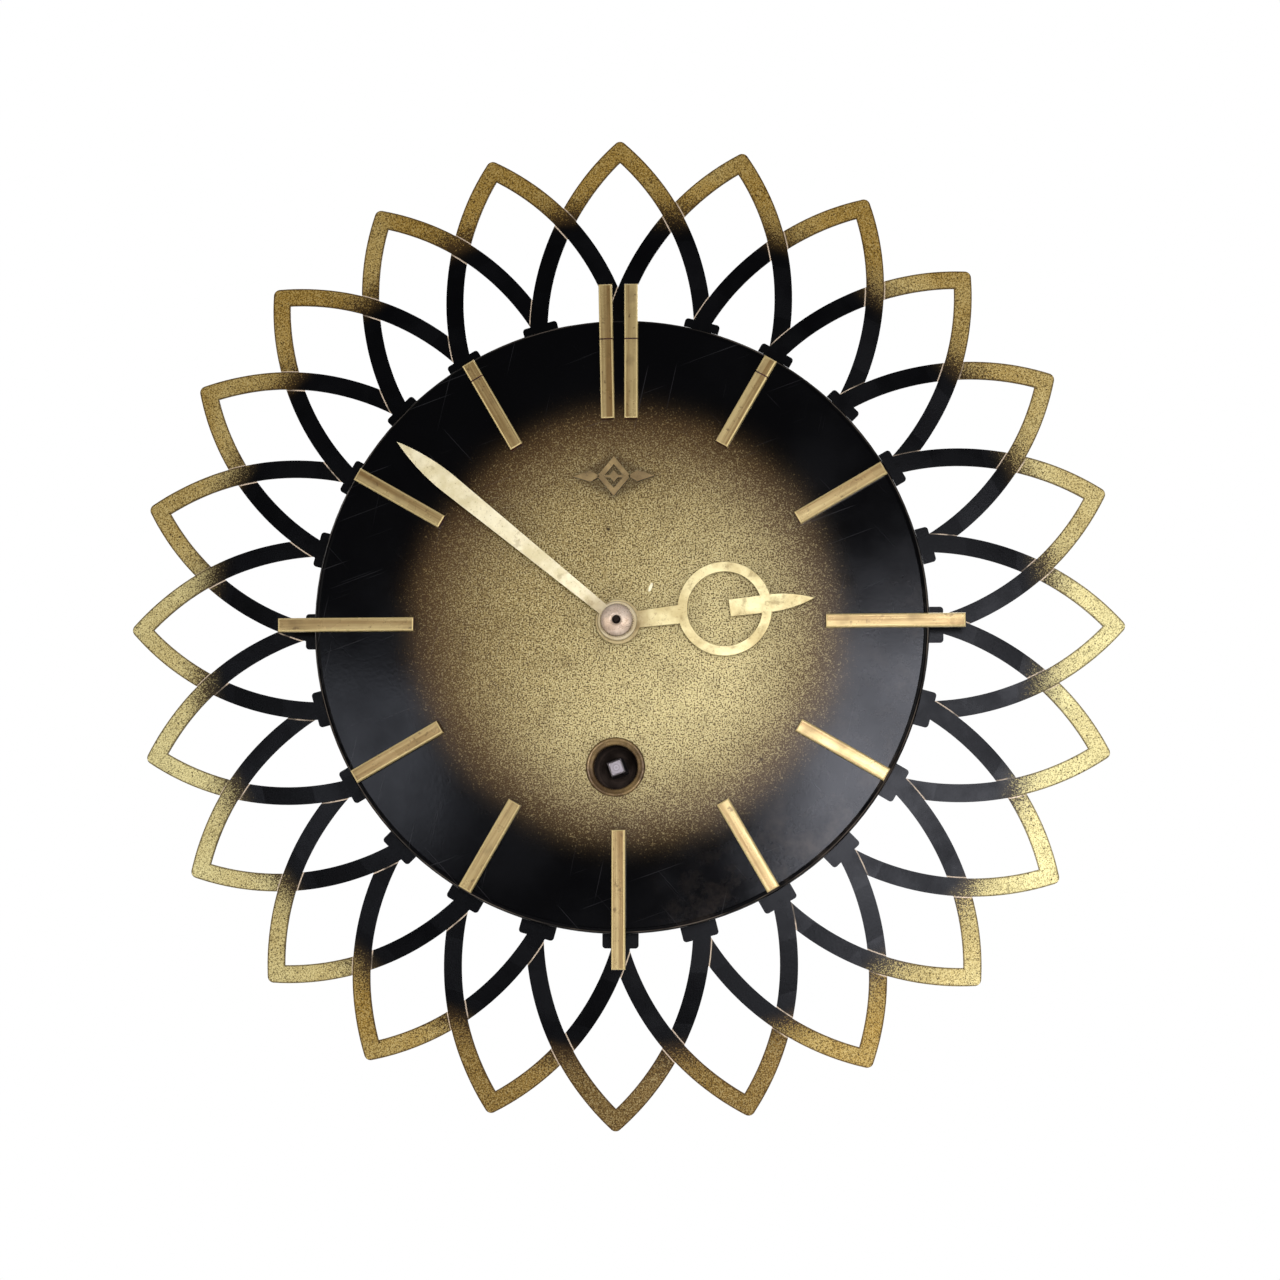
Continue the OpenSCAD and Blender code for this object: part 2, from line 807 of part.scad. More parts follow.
module back_plate() {
  color("gold") stand() {
    slab(back_z, bay_lo) difference() {
      plate_outline();
      for (p = [inter_at, third_at, fourth_at, escape_at, lever_at, balance_at])
        bore(p, pivot_hole);
      bore([0, 0], 0.76);
      bore(barrel_at, 2.06);
      for (p = pillars_at) bore(p, 1.55);
      at(balance_at) arc_slot(5.19, 0.75, curb_at, 22);
    }
    at(balance_at) slab(5.2, back_z + eps) difference() {
      circle(2);
      circle(pivot_hole);
    }
  }
}

module front_plate() {
  color("gold") stand() difference() {
    union() {
      slab(front_z, front_z + plate_t) plate_outline();
      at(motion_at) rod(0.8, front_z + plate_t - eps, 36);
      at(click_at) rod(1.2, front_z + plate_t - eps, 29.3);
      at(click_at) rod(2.2, 29.3, 29.9);
      at([20, wind_y + 14]) rod(1.2, front_z + plate_t - eps, 29.4);
    }
    for (p = [inter_at, third_at, fourth_at, escape_at, lever_at, balance_at])
      at(p) rod(pivot_hole, front_z - 1, front_z + plate_t + 1);
    rod(post_hole, front_z - 1, front_z + plate_t + 1);
    at(barrel_at) rod(2.06, front_z - 1, front_z + plate_t + 1);
    for (p = pillars_at) at(p) rod(1.55, front_z - 1, front_z + plate_t + 1);
  }
}

// Shouldered pillars, riveted behind and screwed to the carrier in front.
module plate_pillars() {
  color("silver") stand() for (p = pillars_at) at(p) {
    rod(3, bay_lo, front_z);
    rod(1.5, back_z - 0.8, high_z + 0.1);
    rod(2.8, back_z - 0.8, back_z);
    rod(3, front_z + plate_t, carrier_z);
    rod(2.8, high_z, high_z + 0.8);
  }
}

for (k = [1:petals]) petal(k);
petal_carrier();
petal_rivets();
dial();
dial_posts();
long_hour_bars();
short_hour_bars();
dial_ornament();
winding_grommet();
minute_hand();
hour_hand();
hand_nut();
cannon_pinion();
minute_wheel();
hour_wheel();
centre_arbor();
centre_wheel();
intermediate_wheel();
third_wheel();
fourth_wheel();
escape_wheel();
pallet_lever();
balance_wheel();
hairspring();
regulator();
barrel();
mainspring();
winding_arbor();
ratchet_wheel();
click();
click_spring();
front_plate();
back_plate();
plate_pillars();
dust_cover();
hanger();
case_screws();
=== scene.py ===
"""Sunburst wall clock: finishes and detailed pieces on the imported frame.

Pieces are drawn in the dial's own frame, in millimetres: x to the right, y up and z out
from the wall. STAND turns that frame into the row frame, in metres.
"""

import logging
import math
from dataclasses import dataclass, field
from enum import Enum
from typing import Iterable, Sequence, Union

import bmesh
import bpy
from mathutils import Matrix, Vector


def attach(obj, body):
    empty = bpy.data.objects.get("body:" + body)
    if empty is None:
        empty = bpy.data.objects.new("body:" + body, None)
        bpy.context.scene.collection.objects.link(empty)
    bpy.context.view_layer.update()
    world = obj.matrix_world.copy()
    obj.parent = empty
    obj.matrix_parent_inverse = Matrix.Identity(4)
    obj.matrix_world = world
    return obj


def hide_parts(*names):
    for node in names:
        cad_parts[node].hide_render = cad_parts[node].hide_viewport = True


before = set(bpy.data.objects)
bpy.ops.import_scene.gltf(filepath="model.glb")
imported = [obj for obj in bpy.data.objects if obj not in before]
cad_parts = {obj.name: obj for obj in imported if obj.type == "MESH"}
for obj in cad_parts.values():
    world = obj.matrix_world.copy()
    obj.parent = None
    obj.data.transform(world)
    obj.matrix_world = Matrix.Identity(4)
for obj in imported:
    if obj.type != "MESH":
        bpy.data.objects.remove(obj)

LOG = logging.getLogger("sunburst_clock")
STAND = Matrix.Diagonal((0.001, 0.001, 0.001, 1.0)) @ Matrix.Rotation(math.pi / 2, 4, "X")
FULL_TURN = 2 * math.pi

Point = tuple[float, float]
Colour = tuple[float, float, float, float]
Socket = bpy.types.NodeSocket
Material = bpy.types.Material
Feed = Union[Socket, float, Sequence[float]]


class Slot(Enum):
    """Names of material slots that are passed along with the new pieces."""

    HAND = "hand_brass"
    BAR = "bar_brass"
    BRONZE = "bronze"
    NUT = "nut_brass"
    STEEL = "steel"


class Place(Enum):
    """Where a pattern takes its place from."""

    SOLID = "Object"
    NORMAL = "Normal"
    GRAIN = "grain"


def rgb(red: int, green: int, blue: int) -> Colour:
    """A display colour, 0 to 255, as linear light.

    Args:
        red: red on the display.
        green: green on the display.
        blue: blue on the display.

    Returns:
        The linear colour with full alpha.
    """

    def linear(part: int) -> float:
        """One channel as linear light."""
        c = part / 255
        return c / 12.92 if c <= 0.04045 else ((c + 0.055) / 1.055) ** 2.4

    return (linear(red), linear(green), linear(blue), 1.0)


def darker(colour: Colour, share: float) -> Colour:
    """A colour with only a share of its light."""
    return (*(share * part for part in colour[:3]), 1.0)


PLATE_BRASS = (rgb(204, 176, 110), rgb(160, 130, 74))


# ---- shader graphs


class Graph:
    """A material in the making, with short names for the nodes it is wired from."""

    def __init__(self, name: str) -> None:
        """Starts the material with a Principled shader.

        Args:
            name: the material's name.
        """
        self.material = bpy.data.materials.new(name)
        self.material.use_nodes = True
        self.tree = self.material.node_tree
        self.tree.nodes.clear()
        self.shader = self.tree.nodes.new("ShaderNodeBsdfPrincipled")
        output = self.tree.nodes.new("ShaderNodeOutputMaterial")
        self.tree.links.new(self.shader.outputs["BSDF"], output.inputs["Surface"])

    def feed(self, socket: Socket, value: Feed) -> None:
        """Links a socket to another, or sets its value.

        Args:
            socket: the input socket.
            value: an output socket or a plain value.
        """
        if isinstance(value, Socket):
            self.tree.links.new(value, socket)
        else:
            socket.default_value = value

    def place(self, where: Place) -> Socket:
        """The coordinates that a pattern is laid out on.

        Args:
            where: solid, normal or the piece's own grain map.

        Returns:
            The vector socket.
        """
        if where is Place.GRAIN:
            node = self.tree.nodes.new("ShaderNodeUVMap")
            node.uv_map = where.value
            return node.outputs["UV"]
        return self.tree.nodes.new("ShaderNodeTexCoord").outputs[where.value]

    def laid(
        self,
        vector: Socket,
        scale: Sequence[float] = (1, 1, 1),
        turn: Sequence[float] = (0, 0, 0),
        shift: Sequence[float] = (0, 0, 0),
    ) -> Socket:
        """Coordinates scaled, turned and shifted.

        Args:
            vector: the coordinates.
            scale: factor on each axis.
            turn: angles about x, y and z, in radians.
            shift: move after the turn.

        Returns:
            The vector socket.
        """
        node = self.tree.nodes.new("ShaderNodeMapping")
        self.feed(node.inputs["Vector"], vector)
        node.inputs["Scale"].default_value = scale
        node.inputs["Rotation"].default_value = turn
        node.inputs["Location"].default_value = shift
        return node.outputs["Vector"]

    def noise(
        self, vector: Socket, scale: float, detail: float = 2.0, rough: float = 0.5
    ) -> Socket:
        """Soft noise about 0.5.

        Args:
            vector: the coordinates.
            scale: grains per metre.
            detail: octaves.
            rough: weight of the finer octaves.

        Returns:
            The value socket.
        """
        node = self.tree.nodes.new("ShaderNodeTexNoise")
        self.feed(node.inputs["Vector"], vector)
        node.inputs["Scale"].default_value = scale
        node.inputs["Detail"].default_value = detail
        node.inputs["Roughness"].default_value = rough
        return node.outputs["Fac"]

    def cells(self, vector: Socket, scale: float) -> Socket:
        """Distance to the nearest of scattered points.

        Args:
            vector: the coordinates.
            scale: points per metre.

        Returns:
            The distance socket.
        """
        node = self.tree.nodes.new("ShaderNodeTexVoronoi")
        self.feed(node.inputs["Vector"], vector)
        node.inputs["Scale"].default_value = scale
        return node.outputs["Distance"]

    def spray(self, vector: Socket, scales: Sequence[float], density: Feed) -> Socket:
        """Cover of scattered paint droplets, which grow and close up as they get denser.

        Args:
            vector: the coordinates.
            scales: droplets per metre, one layer for each number.
            density: 0 leaves the ground bare, 1 covers it.

        Returns:
            The mask socket.
        """
        size = self.calc("MULTIPLY_ADD", self.times(density, density), 0.55, 0.3)
        cover: Feed = 0.0
        for scale in scales:
            node = self.tree.nodes.new("ShaderNodeTexVoronoi")
            self.feed(node.inputs["Vector"], vector)
            node.inputs["Scale"].default_value = scale
            chance = self.split(node.outputs["Color"])[0]
            there = self.ramp(self.minus(chance, density), -0.05, 0.05, 1.0, 0.0)
            near = self.ramp(self.minus(node.outputs["Distance"], size),
                             -0.1, 0.1, 1.0, 0.0)
            cover = self.calc("MAXIMUM", cover, self.times(there, near))
        return cover

    def calc(self, operation: str, a: Feed, b: Feed = 0.0, c: Feed = 0.0) -> Socket:
        """One step of arithmetic on values.

        Args:
            operation: the Math node's operation.
            a: first value.
            b: second value.
            c: third value, where the operation takes one.

        Returns:
            The value socket.
        """
        node = self.tree.nodes.new("ShaderNodeMath")
        node.operation = operation
        for socket, value in zip(node.inputs, (a, b, c)):
            self.feed(socket, value)
        return node.outputs[0]

    def plus(self, a: Feed, b: Feed) -> Socket:
        """Two values added."""
        return self.calc("ADD", a, b)

    def minus(self, a: Feed, b: Feed) -> Socket:
        """The second value taken from the first."""
        return self.calc("SUBTRACT", a, b)

    def times(self, a: Feed, b: Feed) -> Socket:
        """Two values multiplied."""
        return self.calc("MULTIPLY", a, b)

    def size(self, a: Feed) -> Socket:
        """A value without its sign."""
        return self.calc("ABSOLUTE", a)

    def ramp(
        self, value: Feed, low: float, high: float, start: float = 0.0, end: float = 1.0
    ) -> Socket:
        """A smooth step of value from start at low to end at high.

        Args:
            value: the value that drives it.
            low: where the step starts.
            high: where it ends.
            start: result below low.
            end: result above high.

        Returns:
            The value socket.
        """
        node = self.tree.nodes.new("ShaderNodeMapRange")
        node.interpolation_type = "SMOOTHSTEP"
        self.feed(node.inputs["Value"], value)
        numbers = {"From Min": low, "From Max": high, "To Min": start, "To Max": end}
        for name, number in numbers.items():
            node.inputs[name].default_value = number
        return node.outputs["Result"]

    def blend(self, share: Feed, a: Feed, b: Feed) -> Socket:
        """A mix of two colours.

        Args:
            share: 0 gives a, 1 gives b.
            a: first colour.
            b: second colour.

        Returns:
            The colour socket.
        """
        node = self.tree.nodes.new("ShaderNodeMix")
        node.data_type = "RGBA"
        self.feed(node.inputs[0], share)
        self.feed(node.inputs[6], a)
        self.feed(node.inputs[7], b)
        return node.outputs[2]

    def radius(self, vector: Socket) -> Socket:
        """Length of a vector."""
        node = self.tree.nodes.new("ShaderNodeVectorMath")
        node.operation = "LENGTH"
        self.feed(node.inputs[0], vector)
        return node.outputs["Value"]

    def from_axis(self, solid: Socket) -> Socket:
        """Distance from the clock's axis."""
        return self.radius(self.laid(solid, scale=(1, 0, 1)))

    def facing(self) -> Socket:
        """How squarely the surface faces the front or the back, 0 to 1."""
        return self.size(self.split(self.place(Place.NORMAL))[1])

    def split(self, vector: Socket) -> Sequence[Socket]:
        """The three parts of a vector."""
        node = self.tree.nodes.new("ShaderNodeSeparateXYZ")
        self.feed(node.inputs[0], vector)
        return node.outputs

    def joined(self, x: Feed, y: Feed, z: Feed) -> Socket:
        """A vector from three parts."""
        node = self.tree.nodes.new("ShaderNodeCombineXYZ")
        for socket, value in zip(node.inputs, (x, y, z)):
            self.feed(socket, value)
        return node.outputs[0]

    def relief(self, height: Feed, depth: float, strength: float) -> None:
        """Bumps on the surface.

        Args:
            height: the height that is felt.
            depth: metres between heights 0 and 1.
            strength: how much of it shows.
        """
        node = self.tree.nodes.new("ShaderNodeBump")
        node.inputs["Distance"].default_value = depth
        node.inputs["Strength"].default_value = strength
        self.feed(node.inputs["Height"], height)
        self.tree.links.new(node.outputs["Normal"], self.shader.inputs["Normal"])

    def skin(self, **values: Feed) -> Material:
        """Feeds the shader's sockets by name, with _ for a space.

        Args:
            **values: base_color, metallic, roughness and so on.

        Returns:
            The finished material.
        """
        names = {s.name.lower().replace(" ", "_"): s for s in self.shader.inputs}
        for name, value in values.items():
            self.feed(names[name], value)
        return self.material


# ---- finishes


@dataclass(frozen=True)
class PetalLacquer:
    """Speckled gold lacquer that a black spray fades out towards the dial.

    Where a leg runs under its neighbour, the spray missed a line beside the upper leg.
    """

    angle: float
    to_before: float
    to_after: float
    # pale: painted light and shade, a share of pale gold for the lamps' light, or of dark gold for
    # shade where negative
    pale: float
    brown_gold: Colour = rgb(144, 114, 50)
    pale_gold: Colour = rgb(212, 201, 142)
    shaded_gold: Colour = rgb(82, 64, 40)
    fleck: Colour = rgb(226, 216, 164)
    speck: Colour = rgb(50, 35, 18)
    black: Colour = rgb(2, 2, 3)
    # bare: unpainted brass in the missed lines, and the colour of the painted glints on the side
    # walls
    bare: Colour = rgb(216, 194, 166)
    # painted_wall_shade: painted shade on the petals' side walls
    painted_wall_shade: Colour = rgb(26, 18, 11)
    outlined: Colour = rgb(52, 34, 16)
    broad_scale: float = 38.0
    grain_scale: float = 2500.0
    dot_scale: float = 620.0
    blot_scale: float = 150.0
    spray_scales: tuple[float, float] = (3000.0, 2300.0)
    spray_ends: float = 0.1400
    spray_full: float = 0.1200
    outer_from: float = 0.112
    base_to: float = 0.110
    metal: float = 0.3
    specular: float = 0.055
    arc_centre: Point = (0.05093, 0.09053)
    arc_radius: float = 0.07594
    line_at: float = 0.00290
    line_half: float = 0.00017
    leg_half: float = 0.00267

    def material(self, name: str) -> Material:
        """Builds the finish of one petal.

        Args:
            name: the material's name.

        Returns:
            The material.
        """
        g = Graph(name)
        solid = g.place(Place.SOLID)
        own = g.laid(solid, scale=(1, 0, 1), turn=(0, -self.angle, 0))
        r = g.radius(own)
        broad = g.noise(solid, self.broad_scale, 3, 0.5)
        drift = g.times(g.minus(broad, 0.5), 0.014)
        density = g.ramp(g.plus(r, drift), self.spray_full, self.spray_ends, 1.0, 0.12)
        black_share = g.ramp(r, self.spray_full + 0.002, self.spray_full + 0.011, 1.0, 0.0)
        drops = g.spray(solid, self.spray_scales, density)
        mist = g.ramp(r, self.spray_full, self.spray_ends - 0.003, 0.9, 0.0)

        # painted light and shade: self.pale paints the whole petal paler where the lamps light it
        # and darker below; the broad noise adds random tone
        share = g.plus(g.ramp(broad, 0.3, 0.7, -0.14, 0.14), self.pale)
        tone = g.blend(share, self.brown_gold, self.pale_gold)
        tone = g.blend(max(0.0, -self.pale), tone, self.shaded_gold)
        painted_lit_share = max(0.0, self.pale)
        grain = g.noise(solid, self.grain_scale, 0)
        tone = g.blend(g.ramp(grain, 0.5, 0.7, 0.0, 0.65 - 0.2 * painted_lit_share), tone, self.speck)
        tone = g.blend(g.ramp(grain, 0.3, 0.48, 0.14 + 0.2 * painted_lit_share, 0.0), tone, self.fleck)
        dots = g.ramp(g.cells(solid, self.dot_scale), 0.12, 0.2, 0.8, 0.0)
        tone = g.blend(dots, tone, self.speck)
        tone = g.blend(mist, tone, self.speck)
        blots = g.ramp(g.cells(solid, self.blot_scale), 0.035, 0.065, 0.9, 0.0)
        tone = g.blend(blots, tone, self.speck)
        spray = g.blend(black_share, self.speck, self.black)
        colour = g.blend(g.times(drops, 0.92), tone, spray)
        colour = g.blend(g.ramp(density, 0.86, 1.0), colour, self.black)
        gilt = g.minus(1.0, g.calc("MAXIMUM", drops, g.ramp(density, 0.5, 0.95)))

        # painted shade and highlight on the side walls: edge darkens them as shade, with dashes of
        # bare colour as a painted glint of light
        walls = g.ramp(g.facing(), 0.5, 0.8, 1, 0)
        wall_glints = g.ramp(g.noise(solid, 520, 3, 0.6), 0.52, 0.6)
        edge = g.blend(g.times(wall_glints, gilt), self.painted_wall_shade, self.bare)
        colour = g.blend(g.times(walls, 0.9), colour, edge)

        x, _, z = g.split(own)
        across = g.joined(g.plus(g.size(x), self.arc_centre[0]), 0.0,
                          g.minus(z, self.arc_centre[1]))
        off = g.size(g.minus(g.radius(across), self.arc_radius))
        outline = g.ramp(off, self.leg_half - 0.0006, self.leg_half - 0.0002, 0.0, 0.75)
        colour = g.blend(g.times(outline, gilt), colour, self.outlined)
        kept = g.times(g.ramp(g.noise(solid, 160, 2), 0.36, 0.5, 0.2, 1.0),
                       g.ramp(density, 0.2, 0.9, 0.55, 0.9))
        missed = g.times(self.missed_lines(g, own, r), kept)
        colour = g.blend(missed, colour, self.bare)
        haze = g.noise(solid, 48, 4, 0.65)
        dull = g.ramp(haze, 0.35, 0.65, 0.22, 0.32)
        g.relief(g.noise(solid, 1300, 3, 0.6), 0.00004, 0.25)
        return g.skin(
            base_color=colour,
            metallic=g.times(gilt, self.metal),
            roughness=g.plus(dull, g.times(gilt, 0.2)),
            specular_ior_level=self.specular,
        )

    def missed_lines(self, g: Graph, own: Socket, r: Socket) -> Socket:
        """Mask of the bare lines beside the neighbours' legs.

        Args:
            g: the material in the making.
            own: coordinates in which this petal points up.
            r: distance from the clock's axis.

        Returns:
            The mask socket.
        """
        x = g.split(own)[0]
        outer = g.times(g.calc("LESS_THAN", x, 0.0), g.calc("GREATER_THAN", r, self.outer_from))
        base = g.times(g.calc("GREATER_THAN", x, 0.0), g.calc("LESS_THAN", r, self.base_to))
        before = self.beside(g, own, -self.arc_centre[0], -self.to_before)
        after = self.beside(g, own, self.arc_centre[0], self.to_after)
        return g.plus(g.times(before, outer), g.times(after, base))

    def beside(self, g: Graph, own: Socket, centre: float, turn: float) -> Socket:
        """Mask of a thin line along both edges of a neighbour's leg.

        Args:
            g: the material in the making.
            own: coordinates in which this petal points up.
            centre: sideways place of the leg's arc in the neighbour's own frame.
            turn: how far clockwise the neighbour stands from this petal.

        Returns:
            The mask socket.
        """
        seen = g.laid(own, turn=(0, -turn, 0), shift=(-centre, 0, -self.arc_centre[1]))
        off = g.size(g.minus(g.radius(seen), self.arc_radius))
        off = g.size(g.minus(off, self.line_at))
        return g.ramp(off, self.line_half * 0.6, self.line_half * 1.4, 1.0, 0.0)


@dataclass(frozen=True)
class DialSpray:
    """Khaki-gold centre in a black satin ground, with the spray's droplets between them."""

    centre: Point = (0.0025, -0.0012)
    spray_starts: float = 0.026
    spray_full: float = 0.0770
    # light and shade: painted light and painted shade across the khaki centre
    light: Colour = rgb(194, 178, 124)
    shade: Colour = rgb(150, 131, 82)
    fleck: Colour = rgb(226, 216, 168)
    speck: Colour = rgb(66, 48, 24)
    # dust: painted sheen, a hazy grey laid as colour where the right panel's reflection falls on
    # the black
    dust: Colour = rgb(96, 84, 72)
    brown: Colour = rgb(72, 52, 30)
    black: Colour = rgb(2, 2, 3)
    dark_blot: Colour = rgb(44, 32, 20)
    chip: Colour = rgb(240, 232, 196)
    scratch: Colour = rgb(84, 82, 84)
    # rim: painted highlight along the dial's rolled edge
    rim: Colour = rgb(96, 86, 76)
    rim_at: float = 0.09125
    broad_scale: float = 20.0
    grain_scale: float = 2300.0
    dot_scale: float = 620.0
    blot_scale: float = 62.0
    spray_scales: tuple[float, float] = (2900.0, 2200.0)
    chip_at: Point = (0.0094, 0.0106)
    chip_turn: float = 0.35
    halo_at: Point = (-0.0015, 0.044)
    halo_scale: tuple[float, float] = (70.0, 128.0)
    metal: float = 0.1
    specular: float = 0.07

    def material(self, name: str) -> Material:
        """Builds the dial's finish.

        Args:
            name: the material's name.

        Returns:
            The material.
        """
        g = Graph(name)
        solid = g.place(Place.SOLID)
        own = g.laid(solid, scale=(1, 0, 1), shift=(-self.centre[0], 0, -self.centre[1]))
        broad = g.noise(solid, self.broad_scale, 3, 0.5)
        drift = g.times(g.minus(broad, 0.5), 0.008)
        out = g.plus(g.radius(own), drift)
        density = g.ramp(out, self.spray_starts, self.spray_full, 0.05, 1.0)
        drops = g.spray(solid, self.spray_scales, density)
        black_share = g.ramp(out, self.spray_full - 0.024, self.spray_full - 0.005)
        mist = g.ramp(out, self.spray_starts - 0.002, self.spray_full, 0.0, 0.9)

        x, _, z = g.split(own)
        # painted light and shade: the centre is painted lighter towards the lower right, where the
        # key lamp falls, and darker towards the upper left
        painted_light_slope = g.plus(x, g.times(z, -0.8))
        tone = g.blend(g.ramp(painted_light_slope, -0.042, 0.044), self.shade, self.light)
        grain = g.noise(solid, self.grain_scale, 0)
        tone = g.blend(g.ramp(grain, 0.5, 0.68, 0.0, 0.88), tone, self.speck)
        tone = g.blend(g.ramp(grain, 0.28, 0.47, 0.4, 0.0), tone, self.fleck)
        dots = g.ramp(g.cells(solid, self.dot_scale), 0.11, 0.19, 0.75, 0.0)
        tone = g.blend(dots, tone, self.speck)
        clouds = g.ramp(g.noise(solid, 150, 3, 0.6), 0.45, 0.7, 0.0, 0.16)
        tone = g.blend(clouds, tone, self.speck)
        tone = g.blend(mist, tone, self.brown)
        blots = g.ramp(g.cells(solid, self.blot_scale), 0.02, 0.042, 0.95, 0.0)
        tone = g.blend(blots, tone, self.dark_blot)
        # a darker halo about the ornament
        tone = g.blend(self.grime(g, solid), tone, self.dark_blot)
        tone = g.blend(self.nick(g, solid), tone, self.chip)
        spray = g.blend(black_share, self.brown, self.black)
        colour = g.blend(g.times(drops, 0.9), tone, spray)
        colour = g.blend(g.ramp(density, 0.8, 1.0), colour, self.black)
        gilt = g.ramp(density, 0.3, 0.98, 1.0, 0.0)

        # painted reflection: a streaky dust haze painted only towards the lower right, where the
        # panel's reflection lies on the black
        sheen_haze = g.times(g.ramp(g.noise(solid, 70, 5, 0.7), 0.46, 0.72, 0.0, 0.25),
                       g.ramp(painted_light_slope, 0.06, 0.11))
        colour = g.blend(sheen_haze, colour, self.dust)
        # painted highlight: a lighter line along the rolled rim, broken up by noise
        ring = g.ramp(g.size(g.minus(g.from_axis(solid), self.rim_at)),
                      0.00005, 0.00022, 1.0, 0.0)
        rim_highlight_breaks = g.ramp(g.noise(solid, 55, 3, 0.6), 0.38, 0.62, 0.1, 0.8)
        colour = g.blend(g.times(ring, rim_highlight_breaks), colour, self.rim)
        colour = g.blend(self.scratches(g, solid), colour, self.scratch)
        haze = g.noise(solid, 30, 4, 0.6)
        g.relief(g.noise(solid, 900, 3, 0.65), 0.00004, 0.2)
        return g.skin(
            base_color=colour,
            metallic=g.times(gilt, self.metal),
            roughness=g.plus(g.ramp(haze, 0.3, 0.7, 0.10, 0.19), g.times(gilt, 0.3)),
            specular_ior_level=self.specular,
        )

    def nick(self, g: Graph, solid: Socket) -> Socket:
        """Mask of the one chip above the nut.

        Args:
            g: the material in the making.
            solid: coordinates in the row frame.

        Returns:
            The mask socket.
        """
        spot = g.laid(solid, shift=(-self.chip_at[0], 0, -self.chip_at[1]))
        spot = g.laid(spot, turn=(0, -self.chip_turn, 0))
        spot = g.laid(spot, scale=(2.4, 0, 0.8))
        return g.ramp(g.radius(spot), 0.0009, 0.0013, 0.9, 0.0)

    def grime(self, g: Graph, solid: Socket) -> Socket:
        """Mask of a darker halo about the ornament.

        Args:
            g: the material in the making.
            solid: coordinates in the row frame.

        Returns:
            The mask socket.
        """
        (x, z), (wide, high) = self.halo_at, self.halo_scale
        spot = g.laid(solid, scale=(wide, 1, high), shift=(-wide * x, 0, -high * z))
        x, _, z = g.split(spot)
        reach = g.plus(g.size(x), g.size(z))
        return g.ramp(reach, 0.7, 1.1, 0.5, 0.0)

    def scratches(self, g: Graph, solid: Socket) -> Socket:
        """Mask of fine, sparse scratches in three directions.

        Args:
            g: the material in the making.
            solid: coordinates in the row frame.

        Returns:
            The mask socket.
        """
        total: Feed = 0.0
        for turn, cut in ((0.35, 0.68), (1.35, 0.69), (2.3, 0.70)):
            streak = g.noise(g.laid(g.laid(solid, turn=(0, turn, 0)), scale=(22, 1, 1500)),
                             1.0, 2, 0.5)
            total = g.calc("MAXIMUM", total, g.ramp(streak, cut, cut + 0.05, 0.0, 0.14))
        return total


@dataclass(frozen=True)
class BrushedBrass:
    """Brass brushed along a bar, with tarnish, and glossier bevels and sides painted lighter as a
    highlight.
    """

    base: Colour = rgb(168, 148, 100)
    deep: Colour = rgb(114, 88, 48)
    stain: Colour = rgb(70, 50, 26)
    bevel_highlight: Colour = rgb(206, 184, 128)
    metal: float = 0.35
    specular: float = 0.2

    def material(self, name: str) -> Material:
        """Builds the bars' finish.

        Args:
            name: the material's name.

        Returns:
            The material.
        """
        g = Graph(name)
        grain = g.place(Place.GRAIN)
        solid = g.place(Place.SOLID)
        streak = g.noise(g.laid(grain, scale=(12, 420, 1)), 1.0, 4, 0.65)
        hair = g.noise(g.laid(grain, scale=(40, 1900, 1)), 1.0, 2, 0.6)
        patch = g.noise(solid, 110, 4, 0.6)
        tone = g.blend(g.ramp(streak, 0.3, 0.7), self.deep, self.base)
        tone = g.blend(g.ramp(patch, 0.52, 0.72, 0.0, 0.35), tone, self.stain)
        tone = g.blend(g.ramp(g.noise(solid, 520, 3, 0.6), 0.62, 0.7, 0.0, 0.6), tone, self.stain)
        # painted highlight: faces that do not face the front, the bevels and sides, take the
        # lighter colour
        face = g.ramp(g.times(g.split(g.place(Place.NORMAL))[1], -1.0), 0.9, 0.99)
        colour = g.blend(face, self.bevel_highlight, tone)
        g.relief(hair, 0.00004, 0.4)
        return g.skin(
            base_color=colour,
            metallic=self.metal,
            roughness=g.plus(g.ramp(face, 0.0, 1.0, 0.2, 0.24),
                             g.ramp(patch, 0.3, 0.7, 0.0, 0.1)),
            specular_ior_level=self.specular,
        )


@dataclass(frozen=True)
class SpottedBrass:
    """Polished brass with spots of patina, and painted shade on its walls and bevels."""

    base: Colour = rgb(228, 217, 180)
    deep: Colour = rgb(204, 190, 146)
    spot: Colour = rgb(118, 92, 52)
    spot_scale: float = 260.0
    spot_share: float = 0.35
    gloss: float = 0.3
    metal: float = 0.3
    hub: float = 0.0
    painted_rim_shade: float = 0.45
    specular: float = 0.3

    def material(self, name: str) -> Material:
        """Builds the finish.

        Args:
            name: the material's name.

        Returns:
            The material.
        """
        g = Graph(name)
        solid = g.place(Place.SOLID)
        broad = g.noise(solid, 120, 4, 0.6)
        spots = g.noise(solid, self.spot_scale, 4, 0.7)
        flecks = g.noise(solid, 1500, 2, 0.6)
        tone = g.blend(g.ramp(broad, 0.35, 0.65), self.base, self.deep)
        tone = g.blend(g.ramp(spots, 0.55, 0.68, 0.0, self.spot_share), tone, self.spot)
        tone = g.blend(g.ramp(flecks, 0.6, 0.7, 0.0, 0.4), tone, self.spot)
        if self.hub:
            near = g.ramp(g.from_axis(solid), self.hub * 0.8, self.hub * 2.2, 0.55, 0.0)
            tone = g.blend(near, tone, self.spot)
        # painted shade: walls and bevels that turn away from the front are darkened
        rim = g.ramp(g.facing(), 0.6, 0.98, self.painted_rim_shade, 0.0)
        tone = g.blend(rim, tone, darker(self.spot, 0.15))
        g.relief(g.noise(solid, 800, 4, 0.7), 0.00003, 0.3)
        return g.skin(
            base_color=tone,
            metallic=self.metal,
            roughness=g.ramp(spots, 0.35, 0.7, self.gloss, self.gloss + 0.2),
            specular_ior_level=self.specular,
        )


